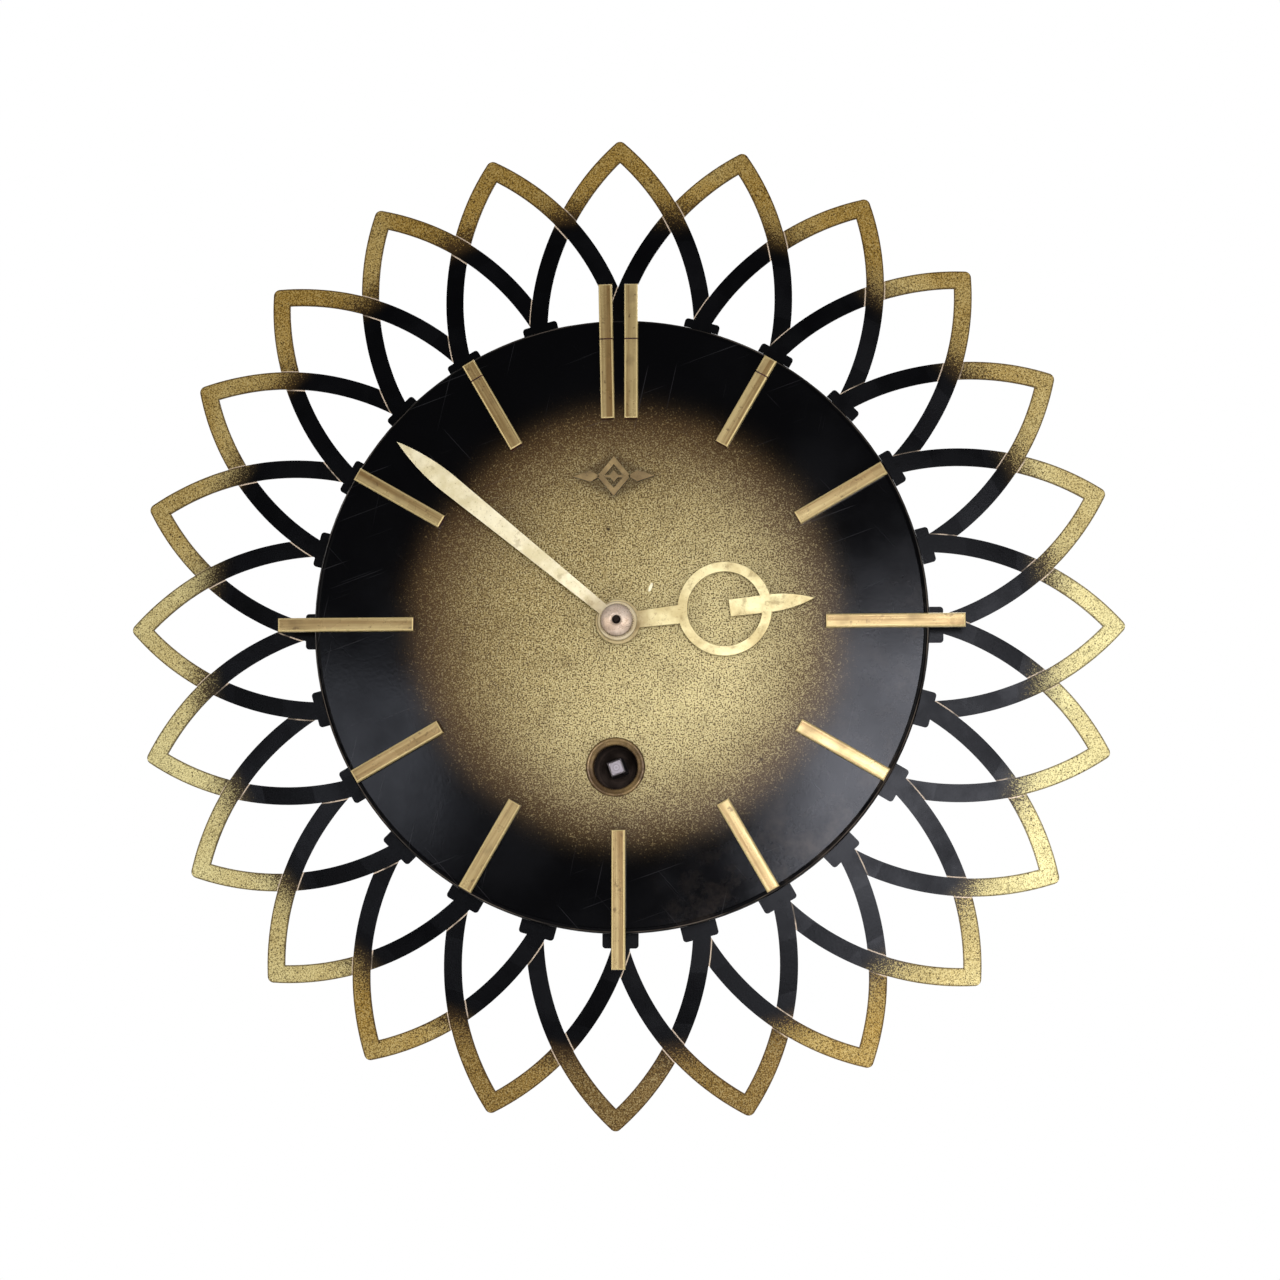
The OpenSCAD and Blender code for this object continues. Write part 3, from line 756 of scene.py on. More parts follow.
@dataclass(frozen=True)
class TurnedMetal:
    """Metal turned or ground in rings about an axis, with wear."""

    base: Colour
    deep: Colour
    axis_at: Point = (0.0, 0.0)
    rings: float = 900.0
    gloss: float = 0.28
    grime: float = 0.3

    def material(self, name: str) -> Material:
        """Builds the finish.

        Args:
            name: the material's name.

        Returns:
            The material.
        """
        g = Graph(name)
        solid = g.place(Place.SOLID)
        own = g.laid(solid, shift=(-self.axis_at[0] / 1000, 0, -self.axis_at[1] / 1000))
        rings = g.times(g.from_axis(own), self.rings)
        lines = g.noise(g.joined(rings, 0.0, 0.0), 1.0, 3, 0.6)
        patch = g.noise(solid, 90, 4, 0.6)
        fine = g.noise(solid, 1100, 3, 0.6)
        tone = g.blend(g.ramp(lines, 0.3, 0.7), self.deep, self.base)
        tone = g.blend(g.ramp(patch, 0.5, 0.75, 0.0, self.grime), tone, darker(self.deep, 0.3))
        g.relief(g.plus(lines, fine), 0.00003, 0.35)
        return g.skin(
            base_color=tone,
            metallic=1.0,
            roughness=g.ramp(g.plus(patch, g.times(fine, 0.5)),
                             0.5, 1.0, self.gloss, self.gloss + 0.2),
        )


@dataclass(frozen=True)
class GrainedSheet:
    """Sheet metal with a straight rolling grain, handling marks and dulled patches."""

    base: Colour
    deep: Colour
    turn: float = 0.0
    gloss: float = 0.3

    def material(self, name: str) -> Material:
        """Builds the finish.

        Args:
            name: the material's name.

        Returns:
            The material.
        """
        g = Graph(name)
        solid = g.place(Place.SOLID)
        along = g.laid(solid, turn=(0, self.turn, 0))
        streak = g.noise(g.laid(along, scale=(25, 500, 1500)), 1.0, 4, 0.6)
        patch = g.noise(solid, 45, 4, 0.6)
        marks = g.noise(g.laid(solid, scale=(60, 60, 700), turn=(0, 0.8, 0)), 1.0, 2, 0.5)
        tone = g.blend(g.ramp(streak, 0.1, 0.8), self.deep, self.base)
        tone = g.blend(g.ramp(patch, 0.45, 0.75, 0.0, 0.45), tone, self.deep)
        tone = g.blend(g.ramp(marks, 0.64, 0.68, 0.0, 0.4), tone, self.base)
        g.relief(streak, 0.00003, 0.3)
        return g.skin(
            base_color=tone,
            metallic=1.0,
            roughness=g.ramp(g.plus(patch, streak), 0.7, 1.3, self.gloss, self.gloss + 0.22),
        )


@dataclass(frozen=True)
class BrownEnd:
    """Dark red-brown lacquer left on the cut ends of the bars."""

    base: Colour = rgb(70, 30, 16)
    deep: Colour = rgb(32, 14, 8)

    def material(self, name: str) -> Material:
        """Builds the finish.

        Args:
            name: the material's name.

        Returns:
            The material.
        """
        g = Graph(name)
        solid = g.place(Place.SOLID)
        patch = g.noise(solid, 700, 3, 0.6)
        g.relief(patch, 0.00004, 0.4)
        return g.skin(
            base_color=g.blend(g.ramp(patch, 0.35, 0.65), self.deep, self.base),
            roughness=g.ramp(patch, 0.3, 0.7, 0.3, 0.5),
            specular_ior_level=0.3,
        )


# ---- meshes


@dataclass
class Shape:
    """A closed mesh drawn in the dial's own frame, in millimetres."""

    bm: bmesh.types.BMesh = field(default_factory=bmesh.new)

    def prism(
        self, outline: Iterable[Point], low: float, high: float, bevel: float = 0.0
    ) -> "Shape":
        """Adds a flat plate and rounds its front edges.

        Args:
            outline: corners, anticlockwise from the front.
            low: height of the back.
            high: height of the front.
            bevel: width of the front bevel.

        Returns:
            This shape.
        """
        part = bmesh.new()
        corners = [part.verts.new((x, y, low)) for x, y in outline]
        base = part.faces.new(corners)
        grown = bmesh.ops.extrude_face_region(part, geom=[base], use_keep_orig=True)["geom"]
        front = [v for v in grown if isinstance(v, bmesh.types.BMVert)]
        bmesh.ops.translate(part, verts=front, vec=(0, 0, high - low))
        if bevel:
            edges = [e for e in part.edges if all(v.co.z > high - 1e-6 for v in e.verts)]
            bmesh.ops.bevel(part, geom=edges, offset=bevel, offset_type="OFFSET", segments=2,
                            profile=0.5, affect="EDGES", material=-1, clamp_overlap=True)
        return self.take(part)

    def lathe(self, profile: Iterable[Point], at: Point = (0.0, 0.0), steps: int = 96) -> "Shape":
        """Adds a turned ring or dome.

        Args:
            profile: radius and height along the section, ends included.
            at: where the axis stands.
            steps: sides of the full turn.

        Returns:
            This shape.
        """
        part = bmesh.new()
        row = [part.verts.new((r, 0, z)) for r, z in profile]
        line = [part.edges.new(pair) for pair in zip(row, row[1:])]
        bmesh.ops.spin(part, geom=row + line, cent=(0, 0, 0), axis=(0, 0, 1), angle=FULL_TURN,
                       steps=steps, use_merge=True)
        bmesh.ops.remove_doubles(part, verts=part.verts, dist=1e-5)
        bmesh.ops.translate(part, verts=part.verts, vec=(at[0], at[1], 0))
        return self.take(part)

    def take(self, part: bmesh.types.BMesh) -> "Shape":
        """Adds a part's mesh, with its faces turned outwards, and frees the part.

        Args:
            part: the mesh to add.

        Returns:
            This shape.
        """
        bmesh.ops.recalc_face_normals(part, faces=part.faces)
        mesh = bpy.data.meshes.new("part")
        part.to_mesh(mesh)
        part.free()
        self.bm.from_mesh(mesh)
        bpy.data.meshes.remove(mesh)
        return self

    def turned(self, clockwise: float) -> "Shape":
        """Turns all of it about the clock's axis.

        Args:
            clockwise: degrees clockwise from twelve.

        Returns:
            This shape.
        """
        turn = Matrix.Rotation(-math.radians(clockwise), 4, "Z")
        bmesh.ops.transform(self.bm, matrix=turn, verts=self.bm.verts)
        return self

    def piece(
        self,
        name: str,
        body: str,
        materials: Sequence[Material],
        slot: Slot,
        replaced: Sequence[str],
        crease: float = 0.0,
    ) -> bpy.types.Object:
        """Stands the shape up in the row frame as a piece that rides on a body.

        Args:
            name: the piece's name.
            body: the CAD body that it rides on.
            materials: finishes, by the faces' material index.
            slot: the material slot; not used.
            replaced: CAD nodes that it stands for.
            crease: angle in degrees above which an edge stays sharp, 0 for flat faces.

        Returns:
            The piece.
        """
        bmesh.ops.transform(self.bm, matrix=STAND, verts=self.bm.verts)
        mesh = bpy.data.meshes.new(name)
        self.bm.to_mesh(mesh)
        self.bm.free()
        if crease:
            mesh.polygons.foreach_set("use_smooth", [True] * len(mesh.polygons))
            mesh.set_sharp_from_angle(angle=math.radians(crease))
        for material in materials:
            mesh.materials.append(material)
        obj = bpy.data.objects.new(name, mesh)
        bpy.context.scene.collection.objects.link(obj)
        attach(obj, body)
        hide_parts(*replaced)
        LOG.info("%s on %s: %d faces", name, body, len(mesh.polygons))
        return obj


def dress(nodes: Iterable[str], material: Material) -> None:
    """Gives CAD nodes a finish.

    Args:
        nodes: the nodes' names.
        material: the finish.
    """
    for name in nodes:
        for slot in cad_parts[name].material_slots:
            slot.material = material
        LOG.info("%s wears %s", name, material.name)


def ogive(width: float, start: float, tip: float, steps: int = 12) -> list[Point]:
    """The two curved sides of a pointed tip, right side first.

    Args:
        width: width where the curve starts.
        start: distance from the axis where it starts.
        tip: distance of the point.
        steps: corners on each side.

    Returns:
        The corners from the right shoulder over the point to the left shoulder.
    """
    rise = tip - start
    r = (rise * rise + width * width / 4) / width
    sweep = math.acos((r - width / 2) / r)
    right = [(width / 2 - r + r * math.cos(sweep * i / steps),
              start + r * math.sin(sweep * i / steps)) for i in range(steps)]
    return right + [(0.0, tip)] + [(-x, y) for x, y in reversed(right)]


# ---- sub-assemblies


@dataclass
class Petals:
    """The 24 woven petals and what carries them."""

    count: int = 24
    lean_apart: float = 0.2
    lean_side: float = 0.5
    lean_turn: float = 25.0
    # painted light and shade on the gold, by angle: the middle and spread in degrees, and by how
    # much a petal is painted paler for the lamps' light or darker for shade
    pale_right: tuple[float, float, float] = (107.0, 44.0, 0.85)
    pale_left: tuple[float, float, float] = (248.0, 38.0, 0.72)
    shaded_low: tuple[float, float, float] = (178.0, 25.0, -0.8)

    def painted_light_share(self, angle: float) -> float:
        """How pale the gold is painted on a petal: painted light on two sides, where the lamps
        light it, and painted shade below, where it is darkest.

        Args:
            angle: where the petal stands, in degrees.

        Returns:
            The share of pale gold as painted light, or of dark gold as painted shade where it is
            negative.
        """
        return sum(most * math.exp(-((angle - middle) / spread) ** 2)
                   for middle, spread, most in (self.pale_right, self.pale_left, self.shaded_low))

    def stands_at(self, k: int) -> float:
        """Where petal k stands.

        Args:
            k: its number, 1 at twelve.

        Returns:
            The angle clockwise from twelve, in radians.
        """
        even = (k - 1) * 360 / self.count
        lean = self.lean_apart if k % 2 else -self.lean_apart
        return math.radians(
            even + lean - self.lean_side * math.cos(math.radians(even + self.lean_turn)))

    def build(self) -> None:
        """Dresses every petal in its own turned finish, and the carrier behind them."""
        for k in range(1, self.count + 1):
            here = self.stands_at(k)
            finish = PetalLacquer(angle=here, to_before=here - self.stands_at(k - 1),
                                  to_after=self.stands_at(k + 2) - here,
                                  pale=self.painted_light_share(math.degrees(here)))
            dress([f"petal_{k:02d}"], finish.material(f"petal_lacquer_{k:02d}"))
        zinc = GrainedSheet(rgb(176, 176, 170), rgb(124, 124, 120), gloss=0.34)
        dress(["petal_carrier"], zinc.material("carrier_zinc"))
        dress(["petal_rivets", "dial_posts"],
              TurnedMetal(rgb(190, 190, 186), rgb(120, 120, 118)).material("rivet_steel"))


@dataclass
class Dial:
    """The pressed dial with its raised ornament."""

    face: float = 43.1
    ornament_at: Point = (-1.5, 44.0)
    ornament_high: float = 1.1
    bevel: float = 0.3
    frame_out: Point = (5.0, 6.0)
    frame_in: Point = (3.0, 3.6)
    core: Point = (1.5, 1.8)
    core_sunk: float = 0.1
    bridge: Point = (4.5, 0.4)
    bridge_sunk: float = 0.3
    bridge_bevel: float = 0.15
    # a dart's near end, widest place, far end and half its width
    dart: tuple[float, float, float, float] = (4.2, 7.0, 12.2, 1.7)

    def build(self) -> None:
        """Dresses the pan and models the ornament."""
        dress(["dial"], DialSpray().material("dial_spray"))
        self.ornament()

    def ornament(self) -> bpy.types.Object:
        """A raised lozenge between two darts.

        Returns:
            The piece.
        """
        low, high = self.face, self.face + self.ornament_high
        shape = Shape()
        outer, inner = self.lozenge(self.frame_out), self.lozenge(self.frame_in)
        for i in range(4):
            j = (i + 1) % 4
            shape.prism([outer[i], outer[j], inner[j], inner[i]], low, high, self.bevel)
        shape.prism(self.lozenge(self.core), low, high - self.core_sunk, self.bevel)
        x, y = self.bridge
        shape.prism([(x, -y), (x, y), (-x, y), (-x, -y)], low, high - self.bridge_sunk,
                    self.bridge_bevel)
        near, middle, far, half = self.dart
        for side in (1, -1):
            dart = [(near, 0), (middle, -half), (far, 0), (middle, half)]
            shape.prism([(side * x, side * y) for x, y in dart], low, high, self.bevel)
        bmesh.ops.translate(shape.bm, verts=shape.bm.verts, vec=(*self.ornament_at, 0))
        bronze = SpottedBrass(base=rgb(142, 120, 76), deep=rgb(104, 84, 50), spot=rgb(44, 30, 16),
                              gloss=0.3, painted_rim_shade=0.95).material("toned_bronze")
        return shape.piece("dial_ornament_relief", "case", [bronze], Slot.BRONZE,
                           ["dial_ornament"])

    @staticmethod
    def lozenge(half: Point) -> list[Point]:
        """The corners of a lozenge from half its width and half its height."""
        x, y = half
        return [(x, 0), (0, y), (-x, 0), (0, -y)]


@dataclass
class HourBars:
    """The thirteen applied bars."""

    low: float = 43.1
    high: float = 45.5
    width: float = 4.05
    bevel: float = 0.5
    inner: float = 61.2
    long_end: float = 102.2
    short_end: float = 91.0
    pair: float = 3.7
    pair_lean: float = 1.2
    score_at: float = 85.4
    score_half: float = 0.2
    score_deep: float = 0.25

    def build(self) -> None:
        """Models the long and the short bars."""
        finishes = [BrushedBrass().material("brushed_bar_brass"),
                    BrownEnd().material("bar_end_brown")]
        far = Shape()
        for shift, lean in ((-self.pair, self.pair_lean), (self.pair, 0.0)):
            self.bar(far, 0, shift, lean, self.long_end, True)
        for hour in (3, 6, 9):
            self.bar(far, hour, 0, 0, self.long_end, False)
        far.piece("long_bars_bevelled", "case", finishes, Slot.BAR, ["long_hour_bars"])
        near = Shape()
        for hour in (1, 2, 4, 5, 7, 8, 10, 11):
            self.bar(near, hour, 0, 0, self.short_end, hour in (1, 11))
        near.piece("short_bars_bevelled", "case", finishes, Slot.BAR, ["short_hour_bars"])

    def bar(
        self, shape: Shape, hour: int, shift: float, lean: float, end: float, scored: bool
    ) -> None:
        """Adds one bar, with a grain map along its length.

        Args:
            shape: the shape that takes the bar.
            hour: where it stands.
            shift: sideways shift from the hour's line.
            lean: its own turn in degrees, anticlockwise.
            end: distance of its outer end from the axis.
            scored: whether a line is scored across it.
        """
        part = bmesh.new()
        bmesh.ops.create_cube(part, size=1.0)
        length, middle = end - self.inner, (end + self.inner) / 2
        bmesh.ops.scale(part, vec=(self.width, length, self.high - self.low), verts=part.verts)
        bmesh.ops.translate(part, verts=part.verts, vec=(0, middle, (self.high + self.low) / 2))
        rim = [e for e in part.edges if all(v.co.z > self.high - 1e-6 for v in e.verts)]
        bmesh.ops.bevel(part, geom=rim, offset=self.bevel, offset_type="OFFSET", segments=2,
                        profile=0.5, affect="EDGES", material=-1, clamp_overlap=True)
        if scored:
            self.score(part)
        chart = part.loops.layers.uv.new(Place.GRAIN.value)
        for face in part.faces:
            off = abs(face.calc_center_median().y - self.score_at)
            scored_in = scored and off < self.score_half
            face.material_index = 1 if abs(face.normal.y) > 0.8 or scored_in else 0
            for loop in face.loops:
                x, y, z = loop.vert.co
                loop[chart].uv = (y / 1000 + hour * 0.4 + shift * 0.03, (x + z) / 1000)
        bmesh.ops.rotate(part, cent=(0, middle, 0), verts=part.verts,
                         matrix=Matrix.Rotation(math.radians(lean), 3, "Z"))
        bmesh.ops.translate(part, verts=part.verts, vec=(shift, 0, 0))
        bmesh.ops.rotate(part, cent=(0, 0, 0), verts=part.verts,
                         matrix=Matrix.Rotation(-math.radians(30 * hour), 3, "Z"))
        shape.take(part)

    def score(self, part: bmesh.types.BMesh) -> None:
        """Cuts the scored line across a bar.

        Args:
            part: the bar, standing up.
        """
        for off in (-self.score_half, -self.score_half * 0.6, self.score_half * 0.6,
                    self.score_half):
            bmesh.ops.bisect_plane(part, geom=part.verts[:] + part.edges[:] + part.faces[:],
                                   plane_co=(0, self.score_at + off, 0), plane_no=(0, 1, 0),
                                   dist=1e-5)
        floor = self.high - self.score_deep
        for vert in part.verts:
            if abs(vert.co.y - self.score_at) < self.score_half * 0.8 and vert.co.z > floor:
                vert.co.z = floor
        part.normal_update()


@dataclass
class Hands:
    """Both hands and the nut that holds them."""

    thick: float = 0.7
    edge: float = 0.16
    hour_low: float = 46.2
    minute_low: float = 48.6
    hour_at: float = 83.5
    minute_at: float = 309.4
    hour_tip: float = 58.5
    minute_tip: float = 85.5
    ring_at: float = 31.75
    ring_out: float = 14.0
    ring_in: float = 11.0
    mark_at: float = 44.4
    # outer and inner radius of each boss
    minute_boss: tuple[float, float] = (5.8, 1.62)
    hour_boss: tuple[float, float] = (6.7, 2.5)
    # half widths and distances from the axis
    blade_root: Point = (1.6, 2.6)
    stem: tuple[Point, Point] = ((2.5, 3.4), (2.88, 19.2))
    pointer_root: Point = (2.6, 33.2)
    # width and distance from the axis where a tip starts to narrow
    blade_wide: tuple[float, float] = (5.8, 66.0)
    pointer_wide: tuple[float, float] = (5.4, 45.0)
    sunk: float = 0.01
    nut_teeth: int = 44
    nut_pressed: float = 0.45
    nut_band_from: float = 4.66

    def build(self) -> None:
        """Models the hands and the nut."""
        self.minute(SpottedBrass(hub=0.007).material("minute_hand_brass"))
        self.hour(SpottedBrass(base=rgb(208, 194, 142), deep=rgb(176, 158, 106), hub=0.006,
                               spot_share=0.4).material("hour_hand_brass"))
        self.nut()

    def boss(
        self, shape: Shape, radius: float, bore: float, low: float, at: Point = (0, 0)
    ) -> None:
        """Adds a flat ring with both front edges rounded.

        Args:
            shape: the shape that takes it.
            radius: outer radius.
            bore: inner radius.
            low: height of its back.
            at: where its axis stands.
        """
        high, full = low + self.thick, self.edge
        part = 0.3 * full
        shape.lathe([(bore, low), (radius, low), (radius, high - full),
                     (radius - part, high - part), (radius - full, high), (bore + full, high),
                     (bore + part, high - part), (bore, high - full), (bore, low)], at)

    def minute(self, brass: Material) -> bpy.types.Object:
        """The minute hand: a boss and a blade that widens to a pointed tip.

        Args:
            brass: its finish.

        Returns:
            The piece.
        """
        low = self.minute_low
        shape = Shape()
        self.boss(shape, *self.minute_boss, low)
        x, y = self.blade_root
        blade = [(x, y)] + ogive(*self.blade_wide, self.minute_tip) + [(-x, y)]
        shape.prism(blade, low, low + self.thick - self.sunk, self.edge)
        return shape.turned(self.minute_at).piece(
            "minute_hand_blade", "minute_hand", [brass], Slot.HAND, ["minute_hand"])

    def hour(self, brass: Material) -> bpy.types.Object:
        """The hour hand: a stem, a ring and a pointer that starts inside the ring.

        Args:
            brass: its finish.

        Returns:
            The piece.
        """
        low, high = self.hour_low, self.hour_low + self.thick
        shape = Shape()
        self.boss(shape, *self.hour_boss, low)
        self.boss(shape, self.ring_out, self.ring_in, low, (0, self.ring_at))
        (x, y), (far_x, far_y) = self.stem
        shape.prism([(-x, y), (x, y), (far_x, far_y), (-far_x, far_y)], low, high - self.sunk,
                    self.edge)
        x, y = self.pointer_root
        pointer = [(-x, y), (x, y)] + ogive(*self.pointer_wide, self.hour_tip)
        shape.prism(pointer, low, high - 1.2 * self.sunk, self.edge)
        shape.lathe([(0.42, high - 0.1), (0.85, high - 0.1), (0.8, high + 0.05),
                     (0.6, high + 0.07), (0.42, high - 0.1)], (0, self.mark_at), 32)
        return shape.turned(self.hour_at).piece(
            "hour_hand_ringed", "hour_hand", [brass], Slot.HAND, ["hour_hand"])

    def nut(self) -> bpy.types.Object:
        """The knurled nut: a turned dome whose band is pressed in at every other side.

        Returns:
            The piece.
        """
        sides, z = 4 * self.nut_teeth, self.minute_low + self.thick
        part = Shape().lathe(
            [(1.3, z), (4.2, z), (4.2, z + 0.5), (4.7, z + 0.6), (5.0, z + 0.8), (5.0, z + 1.4),
             (4.78, z + 2.5), (4.62, z + 2.8), (4.3, z + 3.1), (3.6, z + 3.55),
             (2.7, z + 3.95), (1.95, z + 4.18), (1.8, z + 4.15), (1.3, z + 3.75), (1.3, z)],
            steps=sides)
        for vert in part.bm.verts:
            r = math.hypot(vert.co.x, vert.co.y)
            side = round(math.atan2(vert.co.y, vert.co.x) / FULL_TURN * sides)
            if r > self.nut_band_from and side % 4 in (0, 1):
                vert.co.x *= 1 - self.nut_pressed / r
                vert.co.y *= 1 - self.nut_pressed / r
        for face in part.bm.faces:
            middle = face.calc_center_median()
            side = math.atan2(middle.y, middle.x) / FULL_TURN * sides
            in_band = z + 0.7 < middle.z < z + 2.6 and math.hypot(middle.x, middle.y) > 3.8
            face.material_index = int(in_band and math.floor(side) % 4 == 0)
        brass = SpottedBrass(base=rgb(230, 210, 188), deep=rgb(206, 180, 154), metal=0.45,
                             spot=rgb(120, 88, 66), gloss=0.22, painted_rim_shade=0.5)
        gaps = SpottedBrass(base=rgb(70, 50, 34), deep=rgb(40, 28, 18), spot=rgb(20, 14, 10))
        return part.piece(
            "hand_nut_knurled", "minute_hand",
            [brass.material("nut_brass_knurled"), gaps.material("nut_knurl_gaps")],
            Slot.NUT, ["hand_nut"], crease=28)


@dataclass
class WindingHole:
    """The grommet in the dial and the square that a key turns."""

    at: Point = (-1.0, -42.8)
    face: float = 43.1
    bore: float = 6.5
    rim: float = 8.8
    square: float = 4.6
    square_turn: float = 20.0
    square_from: float = 27.9
    square_end: float = 40.5
    square_bevel: float = 0.55
    # the arbor's steps: radius, and the heights between which it has it
    arbor: tuple[tuple[float, float, float], ...] = (
        (2.0, 6.6, 8.3), (2.5, 8.3, 10.6), (3.9, 10.6, 19.3), (2.5, 19.3, 25.7), (2.0, 25.7, 28.0))

    def build(self) -> None:
        """Models the grommet and the winding square."""
        f, ri, ro = self.face, self.bore, self.rim
        rolled = [(ri, f - 2.0), (ro - 1, f - 2.0), (ro - 1, f), (ro, f), (ro, f + 0.2),
                  (ro - 0.1, f + 0.5), (ro - 0.35, f + 0.72), (ro - 0.65, f + 0.8),
                  (ro - 0.95, f + 0.7), (ro - 1.2, f + 0.45), (ri + 0.75, f + 0.3),
                  (ri + 0.4, f + 0.22), (ri + 0.12, f - 0.02), (ri, f - 0.35), (ri, f - 2.0)]
        brass = SpottedBrass(base=rgb(132, 108, 68), deep=rgb(84, 64, 40), spot=rgb(32, 22, 14),
                             spot_scale=420, gloss=0.2).material("grommet_brass")
        Shape().lathe(rolled, self.at).piece(
            "winding_grommet_rolled", "case", [brass], Slot.BRONZE, ["winding_grommet"],
            crease=40)
        steel = TurnedMetal(rgb(126, 120, 120), rgb(76, 70, 70), self.at, 2600, 0.36,
                            0.8).material("arbor_steel")
        steps = [(r, z) for r, low, high in self.arbor for z in (low, high)]
        shape = Shape().lathe([(0, steps[0][1]), *steps, (0, steps[-1][1])], self.at, 64)
        h = self.square / 2
        part = Shape().prism([(-h, -h), (h, -h), (h, h), (-h, h)], self.square_from,
                             self.square_end, self.square_bevel)
        part.turned(-self.square_turn)
        bmesh.ops.translate(part.bm, verts=part.bm.verts, vec=(*self.at, 0))
        shape.take(part.bm)
        shape.piece("winding_arbor_squared", "winding_arbor", [steel], Slot.STEEL,
                    ["winding_arbor"])


@dataclass
class Movement:
    """Wheels, plates and springs behind the dial."""

    wheels: dict[str, Point] = field(default_factory=lambda: {
        "cannon_pinion": (0, 0), "hour_wheel": (0, 0), "centre_wheel": (0, 0),
        "minute_wheel": (6, 10.392), "intermediate_wheel": (4.601, -18.692),
        "third_wheel": (13.789, 11.570), "fourth_wheel": (6.989, 23.348),
        "escape_wheel": (-5.065, 21.223), "balance_wheel": (-22.431, 9.063),
        "barrel": (-1, -42.8)})

    def build(self) -> None:
        """Dresses every node of the movement."""
        for name, at in self.wheels.items():
            finish = TurnedMetal(rgb(208, 180, 112), rgb(164, 132, 72), at)
            dress([name], finish.material(f"{name}_brass"))
        steel = TurnedMetal(rgb(196, 196, 198), rgb(132, 132, 136), rings=1500)
        dress(["pallet_lever", "regulator"], steel.material("bright_steel"))
        # painted shade: dark steel made darker still, so that the winding hole looks black inside
        dark = TurnedMetal(rgb(44, 36, 30), rgb(22, 18, 15), (-1, -42.8), gloss=0.42, grime=0.6)
        dress(["centre_arbor", "ratchet_wheel", "click"], dark.material("oiled_dark_steel"))
        blued = TurnedMetal(rgb(64, 76, 110), rgb(34, 40, 62), gloss=0.22)
        dress(["mainspring", "hairspring", "click_spring"], blued.material("blued_steel"))
        plates = GrainedSheet(*PLATE_BRASS, turn=math.pi / 2)
        dress(["front_plate", "back_plate"], plates.material("plate_brass_grained"))
        dress(["plate_pillars"], TurnedMetal(*PLATE_BRASS).material("pillar_brass"))


@dataclass
class CaseBack:
    """The dust cover, the hanger and their screws."""

    def build(self) -> None:
        """Dresses the back of the case."""
        cover = GrainedSheet(rgb(182, 182, 176), rgb(134, 134, 128), turn=0.4, gloss=0.32)
        dress(["dust_cover"], cover.material("cover_zinc"))
        strip = GrainedSheet(rgb(188, 188, 184), rgb(138, 138, 134), turn=math.pi / 2, gloss=0.3)
        dress(["hanger"], strip.material("hanger_zinc"))
        dress(["case_screws"],
              TurnedMetal(rgb(198, 196, 188), rgb(128, 126, 120)).material("screw_zinc"))


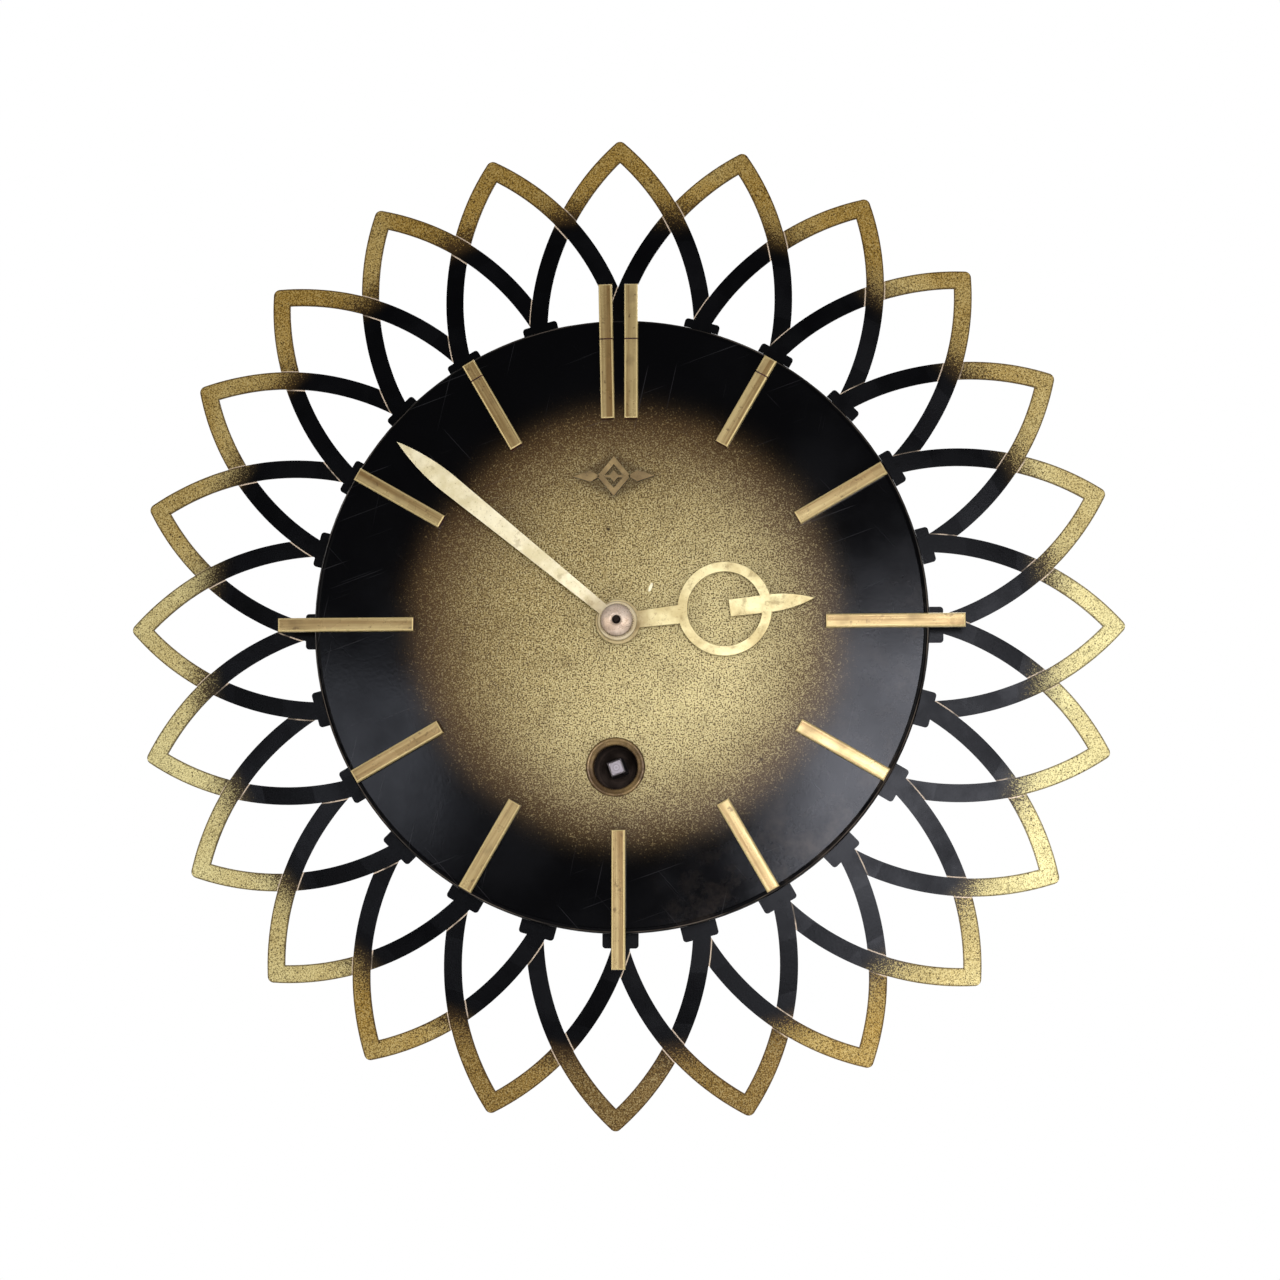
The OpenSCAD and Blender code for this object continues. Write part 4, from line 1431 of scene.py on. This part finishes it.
@dataclass
class Studio:
    """Camera, lights, floor and surroundings."""

    eye: tuple[float, float, float] = (0.060, -0.7749, -0.080)
    yaw: float = -4.2
    pitch: float = 5.825
    lens: float = 69.95
    sensor: float = 36.0
    aim: tuple[float, float, float] = (0.0, -0.04, 0.0)
    floor_at: float = -0.30
    floor_radius: float = 0.55

    def build(self) -> None:
        """Sets up all of it."""
        self.camera()
        self.surroundings()
        self.lamps()
        self.floor()

    def camera(self) -> None:
        """Stands the camera where the object is seen from."""
        data = bpy.data.cameras.new("viewpoint")
        data.lens = self.lens
        data.sensor_width = self.sensor
        data.clip_start = 0.01
        obj = bpy.data.objects.new("viewpoint", data)
        obj.location = self.eye
        obj.rotation_euler = (math.radians(90 + self.pitch), 0, -math.radians(self.yaw))
        bpy.context.scene.collection.objects.link(obj)
        bpy.context.scene.camera = obj
        bpy.context.scene.view_settings.view_transform = "Standard"

    def surroundings(self) -> None:
        """White around the object, and softer light from it."""
        world = bpy.data.worlds.new("studio")
        bpy.context.scene.world = world
        world.use_nodes = True
        tree = world.node_tree
        tree.nodes.clear()
        seen, light = (tree.nodes.new("ShaderNodeBackground") for _ in range(2))
        seen.inputs["Color"].default_value = (1, 1, 1, 1)
        light.inputs["Color"].default_value = (1.0, 0.98, 0.95, 1)
        light.inputs["Strength"].default_value = 0.3
        mix = tree.nodes.new("ShaderNodeMixShader")
        rays = tree.nodes.new("ShaderNodeLightPath")
        output = tree.nodes.new("ShaderNodeOutputWorld")
        tree.links.new(rays.outputs["Is Camera Ray"], mix.inputs[0])
        tree.links.new(light.outputs[0], mix.inputs[1])
        tree.links.new(seen.outputs[0], mix.inputs[2])
        tree.links.new(mix.outputs[0], output.inputs["Surface"])

    def lamp(
        self,
        name: str,
        at: Sequence[float],
        size: tuple[float, float],
        radiance: float,
        tint: Sequence[float] = (1, 1, 1),
    ) -> None:
        """Adds one soft lamp.

        Args:
            name: its name.
            at: where it stands.
            size: its width and height.
            radiance: how bright its face is, 1 for the white around the object.
            tint: colour of its light.
        """
        data = bpy.data.lights.new(name, "AREA")
        data.shape = "RECTANGLE"
        data.size, data.size_y = size
        data.energy = radiance * size[0] * size[1] * math.pi
        data.color = tint
        obj = bpy.data.objects.new(name, data)
        obj.location = at
        way = Vector(self.aim) - Vector(at)
        obj.rotation_euler = way.to_track_quat("-Z", "Y").to_euler()
        obj.visible_camera = False
        bpy.context.scene.collection.objects.link(obj)

    def lamps(self) -> None:
        """A soft key, a fill, and two panels that the black lacquer mirrors."""
        self.lamp("key", (0.75, -0.85, -0.05), (0.6, 0.6), 1.8)
        self.lamp("fill", (-0.8, -0.85, -0.05), (0.7, 0.7), 1.2, (1.0, 0.98, 0.95))
        self.lamp("panel_right", (0.125, -0.80, -0.038), (0.17, 0.23), 30.0, (0.92, 0.94, 1.06))
        self.lamp("panel_left", (-0.24, -0.80, 0.0), (0.14, 0.10), 9.5, (0.9, 0.95, 1.1))
        self.lamp("back_soft", (0.3, 1.0, 0.6), (1.0, 1.0), 3.5)
        self.lamp("side_left", (-1.3, 0.45, 0.3), (0.8, 0.8), 2.0)
        self.lamp("side_right", (1.3, 0.45, 0.3), (0.8, 0.8), 2.0)

    def floor(self) -> None:
        """A plain pale disc below the clock."""
        bm = bmesh.new()
        bmesh.ops.create_circle(bm, cap_ends=True, segments=96, radius=self.floor_radius)
        bmesh.ops.translate(bm, verts=bm.verts, vec=(0, 0, self.floor_at))
        mesh = bpy.data.meshes.new("floor")
        bm.to_mesh(mesh)
        bm.free()
        g = Graph("pale_floor")
        mottle = g.noise(g.place(Place.SOLID), 12, 3)
        mesh.materials.append(g.skin(
            base_color=g.blend(mottle, (0.78, 0.77, 0.75, 1), (0.82, 0.81, 0.79, 1)),
            roughness=0.7))
        obj = bpy.data.objects.new("floor", mesh)
        bpy.context.scene.collection.objects.link(obj)


def main() -> None:
    """Builds and dresses the whole clock, then lights it."""
    logging.basicConfig(level=logging.INFO, format="%(name)s: %(message)s")
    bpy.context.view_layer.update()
    for part in (Petals, Dial, HourBars, Hands, WindingHole, Movement, CaseBack, Studio):
        part().build()


if __name__ == "__main__":
    main()
